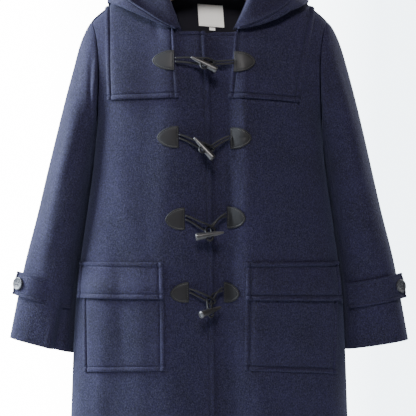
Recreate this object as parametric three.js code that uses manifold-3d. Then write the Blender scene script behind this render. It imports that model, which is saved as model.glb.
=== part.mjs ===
// Duffle coat of unpadded melton wool, hanging open-necked on a wooden hanger.
// Millimetres, +Z up. The front faces -Y and the wearer's right side is at -X.
// The origin is the inside of the hanger's hook, where it rests on a rail.

import * as THREE from 'three';
import { mergeVertices } from 'three/addons/utils/BufferGeometryUtils.js';
import Module from 'manifold-3d';

const wasm = await Module();
wasm.setup();

// ---------------------------------------------------------------- sizes

const cloth = 2.6;        // melton wall
const seam = 0.36;        // gap left between pieces that meet
const hemZ = -970;        // lower edge of the body
const underarmZ = -350;
const neckFrontZ = -196;  // top edge of the fronts
const neckCorner = { [-1]: 54, 1: 46 };  // end of that edge on the wearer's right and left
const neckBackZ = -120;
const neckPointX = 85;    // side of the neck, on the shoulder seam
const sectionPower = 2.4; // roundness of the body's section
const capDepth = 220;     // height over which the shoulders round off
const capPower = 2.2;
const underlap = 45;      // width of the wearer's left front below the right one
const lapGap = 1.4;       // room between the lapped fronts
const layGap = 1.4;       // room below a piece that lies on a curved panel
const tabGap = 0.6;       // room below a small piece

// Body sections: side is where a panel ends, reach is the section's own half width.
const body = [
  { z: -980, side: 250.5, reach: 250.5, front: 92, back: 76 },
  { z: -874, side: 246, reach: 246, front: 91, back: 75 },
  { z: -750, side: 241.5, reach: 241.5, front: 90, back: 74 },
  { z: -657, side: 236, reach: 236, front: 89, back: 73 },
  { z: -575, side: 226, reach: 226, front: 88, back: 72 },
  { z: -504, side: 216, reach: 216, front: 87, back: 71 },
  { z: -440, side: 207, reach: 207, front: 86, back: 70 },
  { z: -370, side: 200.5, reach: 200.5, front: 84, back: 68 },
  { z: -350, side: 199, reach: 199.2, front: 83, back: 67.5 },
  { z: -335, side: 196.5, reach: 202.5, front: 82, back: 67 },
  { z: -300, side: 194, reach: 220, front: 80, back: 66 },
  { z: -265, side: 193.5, reach: 236, front: 76, back: 65 },
  { z: -230, side: 195.5, reach: 246, front: 69, back: 64 },
  { z: -205, side: 199, reach: 251, front: 63, back: 63 },
  { z: -188, side: 203, reach: 252, front: 59, back: 62 },
  { z: -171, side: 209, reach: 253, front: 56, back: 61 },
  { z: -90, side: 225, reach: 255, front: 46, back: 60 },
];

// Shoulder line, carried on across the neck.
const shoulderLine = [
  { x: 0, z: -87 },
  { x: 60, z: -95 },
  { x: 85, z: -103 },
  { x: 100, z: -108.5 },
  { x: 130, z: -121 },
  { x: 160, z: -135.5 },
  { x: 180, z: -147 },
  { x: 190, z: -154 },
  { x: 200, z: -162.5 },
  { x: 209, z: -171.5 },
  { x: 230, z: -196 },
];

// Edge of the wearer's right front, which laps over the left one.
const frontEdge = [
  { z: -980, x: 10 },
  { z: -874, x: 9 },
  { z: -330, x: 0.5 },
  { z: -196, x: -7.5 },
  { z: -90, x: -12 },
];

// Soft folds of the body: depth is how far the cloth falls back, negative where it stands out.
const bodyFolds = [
  { face: -1, topX: 16, hemX: 28, left: 58, right: 24, depth: 14, start: -205, full: -330 },
  { face: -1, topX: -100, hemX: -96, left: 50, right: 40, depth: -4, start: -320, full: -520 },
  { face: -1, topX: 78, hemX: 92, left: 26, right: 45, depth: -5, start: -240, full: -430 },
  { face: -1, topX: 176, hemX: 184, left: 26, right: 22, depth: 5, start: -420, full: -760 },
  { face: -1, topX: -160, hemX: -176, left: 24, right: 30, depth: 4, start: -520, full: -900 },
  { face: 1, topX: -95, hemX: -120, left: 34, right: 40, depth: 9, start: -330, full: -620 },
  { face: 1, topX: 12, hemX: 20, left: 44, right: 40, depth: -5, start: -300, full: -600 },
  { face: 1, topX: 118, hemX: 142, left: 40, right: 30, depth: 8, start: -360, full: -700 },
];

// ---------------------------------------------------------------- numbers

const clamp = THREE.MathUtils.clamp;
const mix = THREE.MathUtils.lerp;
const smooth = THREE.MathUtils.smoothstep;
const signedPower = (base, power) => Math.sign(base) * Math.abs(base) ** power;
const range = (count) => Array.from({ length: count + 1 }, (unused, i) => i / count);

// Slope of a table's column at one of its rows.
function slopeAt(rows, key, column, i) {
  const before = rows[Math.max(i - 1, 0)];
  const after = rows[Math.min(i + 1, rows.length - 1)];
  return (after[column] - before[column]) / (after[key] - before[key]);
}

// Smooth value of a column, where the key column rises from row to row.
function along(rows, key, column, at) {
  let i = 0;
  while (i < rows.length - 2 && at > rows[i + 1][key]) i += 1;
  const [a, b] = [rows[i], rows[i + 1]];
  const step = b[key] - a[key];
  const t = clamp((at - a[key]) / step, 0, 1);
  const t2 = t * t;
  const t3 = t2 * t;
  return (2 * t3 - 3 * t2 + 1) * a[column] + (3 * t2 - 2 * t3) * b[column]
    + (t3 - 2 * t2 + t) * step * slopeAt(rows, key, column, i)
    + (t3 - t2) * step * slopeAt(rows, key, column, i + 1);
}

// ---------------------------------------------------------------- body form

const shoulderZ = (x) => along(shoulderLine, 'x', 'z', Math.abs(x));

// How far the section has opened at a depth below the shoulder line.
function capAt(depth) {
  const s = clamp(depth / capDepth, 0, 1);
  return (1 - (1 - s) ** capPower) ** (1 / capPower);
}

function foldOffset(face, x, z) {
  let offset = 0;
  for (const fold of bodyFolds) {
    if (fold.face !== face) continue;
    const centre = mix(fold.topX, fold.hemX, clamp((z - fold.start) / (hemZ - fold.start), 0, 1));
    const width = x < centre ? fold.left : fold.right;
    const grown = 1 - smooth(z, fold.full, fold.start);
    offset -= face * fold.depth * grown * Math.exp(-(((x - centre) / width) ** 2));
  }
  return offset;
}

// Angle at which the section at a height passes a given x.
function angleAt(z, x) {
  const reach = along(body, 'z', 'reach', z);
  return Math.asin(signedPower(clamp(x / reach, -1, 1), sectionPower / 2));
}

// Point of the body's outer face: face is -1 in front and 1 at the back.
function bodyPoint(face, z, angle) {
  const reach = along(body, 'z', 'reach', z);
  const x = reach * signedPower(Math.sin(angle), 2 / sectionPower);
  const open = Math.max(Math.cos(angle), 0) ** (2 / sectionPower) * capAt(shoulderZ(x) - z);
  const depth = along(body, 'z', face < 0 ? 'front' : 'back', z);
  return new THREE.Vector3(x, (face * (seam / 2 + depth * open)) + foldOffset(face, x, z) * open, z);
}

const sideAngle = (z) => angleAt(z, Math.min(along(body, 'z', 'side', z), along(body, 'z', 'reach', z)));

// ---------------------------------------------------------------- walls

const keepFront = (point) => point.setY(Math.min(point.y, -seam / 2));
const keepBack = (point) => point.setY(Math.max(point.y, seam / 2));
const keepSide = (hand) => (point) => point.setX(hand * Math.max(hand * point.x, seam / 2));

// Closed wall on a surface. Its faces lie at the offsets low and high along the surface's normal.
// Trim keeps its points on their own side of a seam.
function wall(surface, uStops, vStops, low, high, turn = 1, trim = null) {
  const step = 1e-3;
  const offsetOf = (offset, u, v) => (typeof offset === 'function' ? offset(u, v) : offset);
  const rings = [[], []];
  for (const v of vStops) {
    for (const u of uStops) {
      const point = surface(u, v);
      const [u0, u1] = [Math.max(u - step, 0), Math.min(u + step, 1)];
      const [v0, v1] = [Math.max(v - step, 0), Math.min(v + step, 1)];
      const alongU = surface(u1, v).sub(surface(u0, v));
      const alongV = surface(u, v1).sub(surface(u, v0));
      const normal = alongU.cross(alongV).normalize().multiplyScalar(turn);
      rings[0].push(point.clone().addScaledVector(normal, offsetOf(low, u, v)));
      rings[1].push(point.clone().addScaledVector(normal, offsetOf(high, u, v)));
    }
  }
  if (trim) rings.flat().forEach(trim);
  return closedGrid(rings, uStops.length, vStops.length, turn);
}

// Mesh of two matching grids joined round their edges.
function closedGrid([inner, outer], columns, rows, turn) {
  const positions = [...inner, ...outer].flatMap((p) => p.toArray());
  const index = [];
  const quad = (a, b, c, d) => index.push(...(turn > 0 ? [a, b, c, a, c, d] : [a, c, b, a, d, c]));
  const top = columns * rows;
  for (let j = 0; j < rows - 1; j += 1) {
    for (let i = 0; i < columns - 1; i += 1) {
      const a = j * columns + i;
      quad(top + a, top + a + 1, top + a + columns + 1, top + a + columns);
      quad(a, a + columns, a + columns + 1, a + 1);
    }
  }
  for (let i = 0; i < columns - 1; i += 1) {
    const last = (rows - 1) * columns + i;
    quad(i, i + 1, top + i + 1, top + i);
    quad(top + last, top + last + 1, last + 1, last);
  }
  for (let j = 0; j < rows - 1; j += 1) {
    const first = j * columns;
    const last = first + columns - 1;
    quad(top + first, top + first + columns, first + columns, first);
    quad(last, last + columns, top + last + columns, top + last);
  }
  const geometry = new THREE.BufferGeometry();
  geometry.setAttribute('position', new THREE.Float32BufferAttribute(positions, 3));
  geometry.setIndex(index);
  geometry.computeVertexNormals();
  return geometry;
}

// ---------------------------------------------------------------- solids

// Closed three.js geometry to a manifold solid, and back.
function solid(geometry) {
  const bare = geometry.clone();
  bare.deleteAttribute('normal');
  bare.deleteAttribute('uv');
  const merged = mergeVertices(bare, 1e-4);
  return new wasm.Manifold(new wasm.Mesh({
    numProp: 3,
    vertProperties: new Float32Array(merged.attributes.position.array),
    triVerts: new Uint32Array(merged.index.array),
  }));
}

function geometryOf(manifold) {
  const { vertProperties, triVerts } = manifold.getMesh();
  const geometry = new THREE.BufferGeometry();
  geometry.setAttribute('position', new THREE.BufferAttribute(vertProperties, 3));
  geometry.setIndex(new THREE.BufferAttribute(triVerts, 1));
  geometry.computeVertexNormals();
  return geometry;
}

// Round bar or cord along a smooth path through points.
function tube(points, radius, sides, steps) {
  const corners = Array.from({ length: sides }, (unused, k) => {
    const turn = 2 * Math.PI * (k / sides);
    return new THREE.Vector2(radius * Math.cos(turn), radius * Math.sin(turn));
  });
  const path = new THREE.CatmullRomCurve3(points, false, 'centripetal');
  const settings = { steps, extrudePath: path, bevelEnabled: false };
  return geometryOf(solid(new THREE.ExtrudeGeometry(new THREE.Shape(corners), settings)));
}

// ---------------------------------------------------------------- materials

const paint = (color, roughness, metalness = 0) => (
  new THREE.MeshStandardMaterial({ color, roughness, metalness })
);
const melton = paint(0x30324a, 0.95);
const lining = paint(0x1d1d2a, 0.8);
const leather = paint(0x45444a, 0.5);
const horn = paint(0x3a3a3e, 0.3);
const labelCloth = paint(0xe6e7e4, 0.8);
const buttonHorn = paint(0x77797f, 0.35);
const beech = paint(0xd2aa74, 0.5);
const steel = paint(0xb9bcc0, 0.25, 1);

const coat = new THREE.Group();
function addPiece(name, geometry, material) {
  const mesh = new THREE.Mesh(geometry, material);
  mesh.name = name;
  coat.add(mesh);
  return mesh;
}

// ---------------------------------------------------------------- fronts and back

const skirtShare = 0.46;  // share of a panel's rows below the underarm
const upperStops = [0.035, 0.09, 0.16, 0.25, 0.36, 0.48, 0.6, 0.71, 0.81, 0.89, 0.95, 0.985, 1];
const panelRows = [
  ...range(9).map((t) => t * skirtShare),
  ...upperStops.map((t) => mix(skirtShare, 1, t)),
];

const edgeX = (z) => along(frontEdge, 'z', 'x', z);
const lapLift = (x) => (cloth + lapGap) * smooth(x, -112, -62);

// Top line of a front: neck edge, neck seam, then the shoulder seam.
function frontTopZ(hand, x) {
  const corner = neckCorner[hand];
  if (x <= corner) return neckFrontZ;
  if (x >= neckPointX) return shoulderZ(x);
  return mix(neckFrontZ, shoulderZ(neckPointX), ((x - corner) / (neckPointX - corner)) ** 1.12);
}

function backTopZ(x) {
  if (x >= neckPointX) return shoulderZ(x);
  return mix(neckBackZ, shoulderZ(neckPointX), Math.abs(x / neckPointX) ** 2.4);
}

// Grid on the body between two edges, up to a top line. Columns are given by their x on that line.
function bodyGrid({ face, hand = 1, from, to, bottomZ, topZ, bend = null, columns }) {
  const fromAngle = (z) => angleAt(z, from(z));
  const toAngle = (z) => (to ? angleAt(z, to(z)) : sideAngle(z));
  const stops = columns.map((x) => {
    const z = topZ(Math.abs(x));
    return { u: (angleAt(z, x) - fromAngle(z)) / (toAngle(z) - fromAngle(z)), z };
  });
  stops[0].u = 0;
  stops[stops.length - 1].u = 1;
  const topAt = (u) => {
    let i = 0;
    while (i < stops.length - 2 && u > stops[i + 1].u) i += 1;
    const [a, b] = [stops[i], stops[i + 1]];
    return mix(a.z, b.z, (u - a.u) / (b.u - a.u));
  };
  const surface = (u, v) => {
    const low = bottomZ(u);
    let z = mix(low, topAt(u), v);
    if (bend) z = v < bend.share ? mix(low, bend.z, v / bend.share)
      : mix(bend.z, topAt(u), (v - bend.share) / (1 - bend.share));
    return bodyPoint(face, z, hand * mix(fromAngle(z), toAngle(z), u));
  };
  return { surface, uStops: stops.map((stop) => stop.u) };
}

const underarmBend = { share: skirtShare, z: underarmZ };
const frontRight = bodyGrid({
  face: -1,
  hand: -1,
  from: (z) => -edgeX(z),
  bottomZ: () => hemZ,
  topZ: (x) => frontTopZ(-1, x),
  bend: underarmBend,
  columns: [7.5, 22, 38, 54, 61, 68, 76, 85, 104, 128, 154, 178, 196, 209],
});
const frontLeft = bodyGrid({
  face: -1,
  from: (z) => edgeX(z) - underlap,
  bottomZ: () => hemZ,
  topZ: (x) => frontTopZ(1, x),
  bend: underarmBend,
  columns: [-52.5, -26, -6, 8, 20, 33, 46, 55, 64, 74, 85, 104, 128, 154, 178, 196, 209],
});
const backGrid = bodyGrid({
  face: 1,
  from: (z) => -Math.min(along(body, 'z', 'side', z), along(body, 'z', 'reach', z)),
  bottomZ: () => hemZ,
  topZ: backTopZ,
  bend: underarmBend,
  columns: [-209, -196, -178, -154, -128, -104, -85, -58, -30, 0, 30, 58, 85, 104, 128, 154, 178, 196, 209],
});
const liftOf = (surface) => (u, v) => lapLift(surface(u, v).x);
const rightLift = liftOf(frontRight.surface);
addPiece('front_right', wall(frontRight.surface, frontRight.uStops, panelRows,
  (u, v) => rightLift(u, v) - cloth, rightLift, -1, keepFront), melton);
addPiece('front_left',
  wall(frontLeft.surface, frontLeft.uStops, panelRows, -cloth, 0, 1, keepFront), melton);
addPiece('back', wall(backGrid.surface, backGrid.uStops, panelRows, -cloth, 0, -1, keepBack), melton);

// ---------------------------------------------------------------- storm yokes

// The yokes stop a little short of the neck edge, below the hood.
const yokeTop = (topZ) => (x) => {
  const room = 1 - smooth(Math.abs(x), 85, 103);
  return topZ(Math.abs(x) - 2.4 * room) - 1.2 * room;
};
const yokeRows = [0, 0.06, 0.2, 0.36, 0.52, 0.66, 0.78, 0.88, 0.95, 0.985, 1];
const yokes = [
  {
    name: 'yoke_front_right',
    hand: -1,
    room: 1.65,
    inner: { top: 63.5, low: 52.5 },
    outer: { top: 184, low: 176.5 },
    low: { inner: -312.5, outer: -315 },
    columns: [63.5, 69, 76, 85, 104, 128, 154, 184],
  },
  {
    name: 'yoke_front_left',
    hand: 1,
    room: 1.4,
    inner: { top: 47, low: 35.5 },
    outer: { top: 185.5, low: 156 },
    low: { inner: -312, outer: -319 },
    columns: [47.5, 55, 64, 74, 85, 104, 128, 154, 185.5],
  },
];
for (const yoke of yokes) {
  const { hand } = yoke;
  const edge = ({ top, low }) => (z) => mix(low, top, clamp((z + 315) / 150, 0, 1));
  const grid = bodyGrid({
    face: -1,
    hand,
    from: edge(yoke.inner),
    to: edge(yoke.outer),
    bottomZ: (u) => mix(yoke.low.inner, yoke.low.outer, u),
    topZ: yokeTop((x) => frontTopZ(hand, x)),
    columns: yoke.columns,
  });
  const low = (u, v) => {
    const { x } = grid.surface(u, v);
    const lift = hand < 0 ? lapLift(x) : 0;
    const neckRoom = 1.6 * smooth(v, 0.5, 0.9) * (1 - smooth(Math.abs(x), 98, 122));
    return yoke.room + lift + 1.4 * (1 - v) ** 9 + neckRoom;
  };
  addPiece(yoke.name, wall(grid.surface, grid.uStops, yokeRows, low,
    (u, v) => low(u, v) + cloth, hand, keepFront), melton);
}

const yokeBack = bodyGrid({
  face: 1,
  from: (z) => -mix(168, 184, clamp((z + 315) / 150, 0, 1)),
  to: (z) => mix(168, 184, clamp((z + 315) / 150, 0, 1)),
  bottomZ: (u) => -316 - 10 * Math.sin(Math.PI * u),
  topZ: yokeTop(backTopZ),
  columns: [-184, -154, -128, -104, -85, -58, -30, 0, 30, 58, 85, 104, 128, 154, 184],
});
const backYokeLow = (u, v) => layGap + 1.2 * (1 - v) ** 9;
addPiece('yoke_back', wall(yokeBack.surface, yokeBack.uStops, yokeRows, backYokeLow,
  (u, v) => backYokeLow(u, v) + cloth, -1, keepBack), melton);

// ---------------------------------------------------------------- sleeves

// Rings from the armhole to the cuff: outer and inner edge, and depth before and behind.
const sleeves = {
  [-1]: [
    { at: 0, outerX: 209, outerZ: -171.5, innerZ: -350, front: 45, back: 42 },
    { at: 0.034, outerX: 218.5, outerZ: -188, innerZ: -357, front: 50, back: 48 },
    { at: 0.08, outerX: 229, outerZ: -213, innerZ: -367, front: 54, back: 54 },
    { at: 0.155, outerX: 240.5, outerZ: -256, innerZ: -384, front: 58, back: 58 },
    { at: 0.245, outerX: 254, outerZ: -306, innerZ: -406, front: 60, back: 61 },
    { at: 0.365, outerX: 271, outerZ: -374, innerZ: -438, front: 61, back: 63 },
    { at: 0.5, outerX: 289.5, outerZ: -450, innerZ: -488, front: 60, back: 63 },
    { at: 0.61, outerX: 304, outerZ: -512, innerZ: -541, front: 57, back: 60 },
    { at: 0.752, outerX: 325, outerZ: -593, innerZ: -616, front: 50, back: 52 },
    { at: 0.857, outerX: 338, outerZ: -652, innerZ: -680, front: 44, back: 44 },
    { at: 1, outerX: 354, outerZ: -734, innerZ: -764, front: 39, back: 37 },
  ],
  1: [
    { at: 0, outerX: 209, outerZ: -171.5, innerZ: -350, front: 45, back: 42 },
    { at: 0.034, outerX: 219, outerZ: -185, innerZ: -357, front: 50, back: 48 },
    { at: 0.08, outerX: 231, outerZ: -211, innerZ: -367, front: 54, back: 54 },
    { at: 0.155, outerX: 243, outerZ: -251, innerZ: -384, front: 58, back: 58 },
    { at: 0.245, outerX: 256.5, outerZ: -302, innerZ: -406, front: 60, back: 61 },
    { at: 0.365, outerX: 273, outerZ: -370, innerZ: -438, front: 61, back: 63 },
    { at: 0.5, outerX: 290.5, outerZ: -447, innerZ: -488, front: 60, back: 63 },
    { at: 0.61, outerX: 305, outerZ: -510, innerZ: -541, front: 57, back: 60 },
    { at: 0.752, outerX: 326, outerZ: -593, innerZ: -614, front: 50, back: 52 },
    { at: 0.857, outerX: 338, outerZ: -655, innerZ: -676, front: 44, back: 44 },
    { at: 1, outerX: 353, outerZ: -737, innerZ: -757, front: 39, back: 37 },
  ],
};
const sleeveGap = 4.5;    // room between the sleeve and the body's side
const sleeveTuck = { inward: 7, behind: 27 };  // how the sleeve's inner side hides behind the body's edge
const frontSeamAngle = 2.36;
const backSeamAngle = -2.1;
const sleeveRows = [0, 0.03, 0.07, 0.125, 0.19, 0.27, 0.36, 0.46, 0.56, 0.66, 0.76, 0.84, 0.92, 1];

// Point of the armhole seam: the angle runs from the shoulder tip, forward and down.
function armholePoint(hand, angle) {
  const z = mix(underarmZ, -171.5, (1 + Math.cos(angle)) / 2);
  return bodyPoint(Math.sin(angle) > 0 ? -1 : 1, z, hand * sideAngle(z));
}

function sleeveRing(hand, at, angle) {
  const value = (column) => along(sleeves[hand], 'at', column, at);
  const [outerX, outerZ, innerZ] = ['outerX', 'outerZ', 'innerZ'].map(value);
  const tuck = smooth(at, 0, 0.22);
  const innerGap = sleeveGap * smooth(at, 0, 0.1) - sleeveTuck.inward * tuck;
  const innerX = along(body, 'z', 'side', innerZ) + innerGap;
  const share = (1 + Math.cos(angle)) / 2;
  const depth = Math.sin(angle) > 0 ? value('front') : value('back');
  return new THREE.Vector3(
    hand * mix(innerX, outerX, share),
    sleeveTuck.behind * tuck * (1 - share) - depth * Math.sin(angle),
    mix(innerZ, outerZ, share),
  );
}

function sleevePoint(hand, at, angle) {
  const point = sleeveRing(hand, at, angle);
  const fade = 1 - smooth(at, 0, 0.3);
  if (fade > 0) {
    const change = armholePoint(hand, angle).sub(sleeveRing(hand, 0, angle));
    point.addScaledVector(change, fade);
  }
  point.x += hand * 1.2;
  return point;
}

const halfSeamAngle = seam / 2 / 16;  // as seen from the sleeve's middle, at its thinnest
const sleeveParts = [
  { name: 'upper', from: backSeamAngle, to: frontSeamAngle, columns: 13 },
  { name: 'under', from: frontSeamAngle, to: backSeamAngle + 2 * Math.PI, columns: 6 },
];
const sideName = { [-1]: 'right', 1: 'left' };
for (const hand of [-1, 1]) {
  for (const part of sleeveParts) {
    const surface = (u, v) => (
      sleevePoint(hand, v, mix(part.from + halfSeamAngle, part.to - halfSeamAngle, u))
    );
    addPiece(`sleeve_${part.name}_${sideName[hand]}`,
      wall(surface, range(part.columns), sleeveRows, -cloth, 0, hand), melton);
  }
}

// ---------------------------------------------------------------- pockets

// Patch on a front between two edges given by their x at the patch's top and bottom.
function frontPatch({ hand, inner, outer, topZ, lowInner, lowOuter }) {
  return (u, v) => {
    const z = mix(mix(lowInner, lowOuter, u), topZ, v);
    const from = angleAt(z, mix(inner.low, inner.top, v));
    const to = angleAt(z, mix(outer.low, outer.top, v));
    return bodyPoint(-1, z, hand * mix(from, to, u));
  };
}

const pocketTopZ = -632;  // hidden below the flap
const flapTopZ = -598;
const pockets = [
  {
    hand: -1,
    room: 0.8,
    inner: { top: 78, low: 77 },
    outer: { top: 220.5, low: 219.5 },
    low: { inner: -785, outer: -790.5 },
    flapInner: { top: 80.2, low: 78.3 },
    flapOuter: { top: 227, low: 231.5 },
    flapLow: { inner: -661, outer: -662 },
  },
  {
    hand: 1,
    room: 1.6,
    inner: { top: 63.5, low: 61.5 },
    outer: { top: 225, low: 221.5 },
    low: { inner: -784, outer: -794 },
    flapInner: { top: 64.3, low: 65 },
    flapOuter: { top: 225.5, low: 228.5 },
    flapLow: { inner: -662.5, outer: -667 },
  },
];
for (const pocket of pockets) {
  const { hand } = pocket;
  const bag = frontPatch({
    hand, inner: pocket.inner, outer: pocket.outer, topZ: pocketTopZ,
    lowInner: pocket.low.inner, lowOuter: pocket.low.outer,
  });
  const lift = (surface) => (u, v) => pocket.room + (hand < 0 ? lapLift(surface(u, v).x) : 0);
  const bagLow = lift(bag);
  addPiece(`pocket_${sideName[hand]}`,
    wall(bag, range(9), range(6), bagLow, (u, v) => bagLow(u, v) + cloth, hand, keepFront), melton);
  const flap = frontPatch({
    hand, inner: pocket.flapInner, outer: pocket.flapOuter, topZ: flapTopZ,
    lowInner: pocket.flapLow.inner, lowOuter: pocket.flapLow.outer,
  });
  const flapLow = lift(flap);
  const overPocket = (u, v) => flapLow(u, v) + 0.15 + (cloth + seam + 0.5) * (1 - smooth(v, 0.52, 0.86));
  addPiece(`pocket_flap_${sideName[hand]}`,
    wall(flap, range(9), [0, 0.25, 0.5, 0.64, 0.78, 0.9, 1], overPocket,
      (u, v) => overPocket(u, v) + cloth, hand, keepFront), melton);
}

// ---------------------------------------------------------------- cuff straps

const strapLeave = 0.62;  // angle at which the strap leaves the sleeve
const strapFree = 28;     // length of its free end
const straps = [
  { hand: -1, from: 0.795, to: 0.868 },
  { hand: 1, from: 0.797, to: 0.872 },
];
const strapStart = frontSeamAngle - 0.04;

// Outer face of a strap and its free end: u runs from the seam to the end.
function strapPoint({ hand, from, to }, u, v) {
  const at = mix(to, from, v);
  const wrapped = 0.8;
  if (u <= wrapped) return sleevePoint(hand, at, mix(strapStart, strapLeave, u / wrapped));
  const leave = sleevePoint(hand, at, strapLeave);
  const heading = leave.clone().sub(sleevePoint(hand, at, strapLeave + 0.02)).normalize();
  const rounded = 1 - 0.07 * Math.abs(2 * v - 1) ** 4;
  return leave.addScaledVector(heading, strapFree * rounded * (u - wrapped) / (1 - wrapped));
}

function buttonSolid(radius, height, holeRadius, holeSpread) {
  const disc = solid(new THREE.LatheGeometry([
    new THREE.Vector2(0, 0),
    new THREE.Vector2(radius - 0.8, 0),
    new THREE.Vector2(radius, 1),
    new THREE.Vector2(radius, height - 0.6),
    new THREE.Vector2(radius - 1.2, height),
    new THREE.Vector2(radius - 3, height - 0.7),
    new THREE.Vector2(0, height - 0.8),
  ], 16));
  let button = disc;
  for (const [x, z] of [[-1, -1], [-1, 1], [1, -1], [1, 1]]) {
    const drill = new THREE.CylinderGeometry(holeRadius, holeRadius, 3 * height, 5);
    drill.translate(x * holeSpread, 0, z * holeSpread);
    button = button.subtract(solid(drill));
  }
  return geometryOf(button);
}

const strapColumns = [0, 0.1, 0.2, 0.3, 0.4, 0.5, 0.6, 0.7, 0.8, 0.87, 0.94, 1];
for (const strap of straps) {
  const { hand } = strap;
  const surface = (u, v) => strapPoint(strap, u, v);
  addPiece(`cuff_strap_${sideName[hand]}`,
    wall(surface, strapColumns, range(3), layGap * 0.6, layGap * 0.6 + cloth, hand), melton);
  const centre = strapPoint(strap, 0.925, 0.5);
  const across = strapPoint(strap, 0.96, 0.5).sub(strapPoint(strap, 0.89, 0.5)).normalize();
  const down = strapPoint(strap, 0.925, 0.1).sub(strapPoint(strap, 0.925, 0.9)).normalize();
  const out = across.clone().cross(down).multiplyScalar(-hand).normalize();
  const button = addPiece(`cuff_button_${sideName[hand]}`, buttonSolid(11.5, 4, 1.1, 2.4), buttonHorn);
  button.quaternion.setFromUnitVectors(new THREE.Vector3(0, 1, 0), out);
  button.position.copy(centre).addScaledVector(out, layGap * 0.6 + cloth + seam);
}

// ---------------------------------------------------------------- hood

// Sections of the hood as it lies open, from the front corner round to the middle of the back.
// neckX places the start on the neck seam. The others are points across the trough:
// roll over the neck, inner and outer bottom, rim. x grows to the side.
const hood = [
  {
    at: 0, face: -1, neckX: 55,
    roll: [55, -59, -188.5], inner: [56, -61.5, -189], outer: [57.5, -64, -190.5], rim: [59, -67, -194],
  },
  {
    at: 0.1, face: -1, neckX: 62,
    roll: [60, -56.5, -166.5], inner: [74, -61, -175], outer: [84, -62, -182], rim: [86, -64, -174],
  },
  {
    at: 0.22, face: -1, neckX: 71,
    roll: [72, -49, -139], inner: [98, -52, -160], outer: [116, -57, -167], rim: [114, -60, -157],
  },
  {
    at: 0.34, face: -1, neckX: 80,
    roll: [83, -31, -106], inner: [122, -38, -143], outer: [149, -46, -153], rim: [138, -49, -141],
  },
  {
    at: 0.44, face: -1, neckX: 84,
    roll: [87, -10, -89], inner: [136, -20, -124], outer: [173, -29, -142], rim: [148, -34, -126],
  },
  {
    at: 0.53, face: 1, neckX: 84,
    roll: [89, 9, -82], inner: [144, 10, -112], outer: [181, 4, -136], rim: [152, 2, -108],
  },
  {
    at: 0.64, face: 1, neckX: 74,
    roll: [86, 34, -82], inner: [138, 46, -124], outer: [174, 52, -156], rim: [148, 54, -106],
  },
  {
    at: 0.77, face: 1, neckX: 58,
    roll: [68, 50, -85], inner: [116, 70, -184], outer: [146, 90, -212], rim: [122, 92, -114],
  },
  {
    at: 0.89, face: 1, neckX: 34,
    roll: [38, 60, -88], inner: [72, 82, -290], outer: [92, 114, -312], rim: [74, 114, -130],
  },
  {
    at: 1, face: 1, neckX: 0.2,
    roll: [0.2, 65, -90], inner: [0.2, 84, -350], outer: [0.2, 120, -366], rim: [0.2, 126, -142],
  },
];
// The wearer's left side of the hood lies a little lower and closer to the neck.
const leftHoodShift = [
  { at: 0, drop: 0, close: 8 },
  { at: 0.1, drop: 3, close: 4 },
  { at: 0.22, drop: 6, close: 2 },
  { at: 0.34, drop: 4, close: 4 },
  { at: 0.44, drop: 1, close: 5 },
  { at: 0.53, drop: 0, close: 4 },
  { at: 0.64, drop: 0, close: 2 },
  { at: 1, drop: 0, close: 0 },
];

const hoodRoom = 4.2;     // from the neck edge to the middle of the hood's wall

function hoodSection(hand, row) {
  const edge = row.face < 0 ? Math.max(row.neckX, neckCorner[hand] + 1) : row.neckX;
  const neckX = hand > 0 && row.at < 0.1 ? neckCorner[1] + 1 : edge;
  const topZ = row.face < 0 ? frontTopZ(hand, neckX) : backTopZ(neckX);
  const start = bodyPoint(row.face, topZ, angleAt(topZ, neckX));
  const rise = topZ - (row.face < 0 ? frontTopZ(hand, neckX - 1) : backTopZ(neckX - 1));
  const away = new THREE.Vector3(-rise, 0, 1).setLength(hoodRoom);
  const neck = new THREE.Vector3(Math.max(neckX + away.x, 0.2), start.y + 1.2 * row.face, topZ + away.z);
  const shift = hand > 0 ? ['drop', 'close'].map((key) => along(leftHoodShift, 'at', key, row.at)) : [0, 0];
  const placed = (point, dropShare) => new THREE.Vector3(
    Math.max(point[0] - shift[1] * (row.at > 0 ? dropShare : 1), 0.2),
    point[1],
    point[2] - shift[0] * dropShare,
  );
  return new THREE.CatmullRomCurve3([
    neck,
    placed(row.roll, 0.2),
    placed(row.inner, 0.3),
    placed(row.outer, 1),
    placed(row.rim, 0.7),
  ], false, 'centripetal');
}

const hoodStops = [
  0, 0.05, 0.1, 0.16, 0.22, 0.28, 0.34, 0.39, 0.44, 0.485,
  0.53, 0.585, 0.64, 0.705, 0.77, 0.83, 0.89, 0.945, 1,
];
const hoodProfile = [0, 0.12, 0.25, 0.38, 0.5, 0.62, 0.75, 0.87, 1];
const hoodWall = 2.6;
for (const hand of [-1, 1]) {
  const sections = hood.map((row) => ({ at: row.at, curve: hoodSection(hand, row) }));
  const surface = (u, v) => {
    const knots = sections.map(({ at, curve }) => {
      const { x, y, z } = curve.getPoint(v);
      return { at, x, y, z };
    });
    const [x, y, z] = ['x', 'y', 'z'].map((column) => along(knots, 'at', column, u));
    return new THREE.Vector3(hand * x, y, z);
  };
  addPiece(`hood_${sideName[hand]}`,
    wall(surface, hoodStops, hoodProfile, -hoodWall / 2, hoodWall / 2, hand, keepSide(hand)), melton);
}

// ---------------------------------------------------------------- toggle closures

const tabWall = 2.2;
const tabStops = [0, 0.3, 0.58, 0.82, 1];
const cordRadius = 1.7;
const boreRadius = 2.5;
const toggleLength = 50;
const bores = [-3.5, 6];  // places of the two bores along a toggle, from its middle to the thick end
const lead = 7.5;         // straight run of the cord before and after a bore

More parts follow.
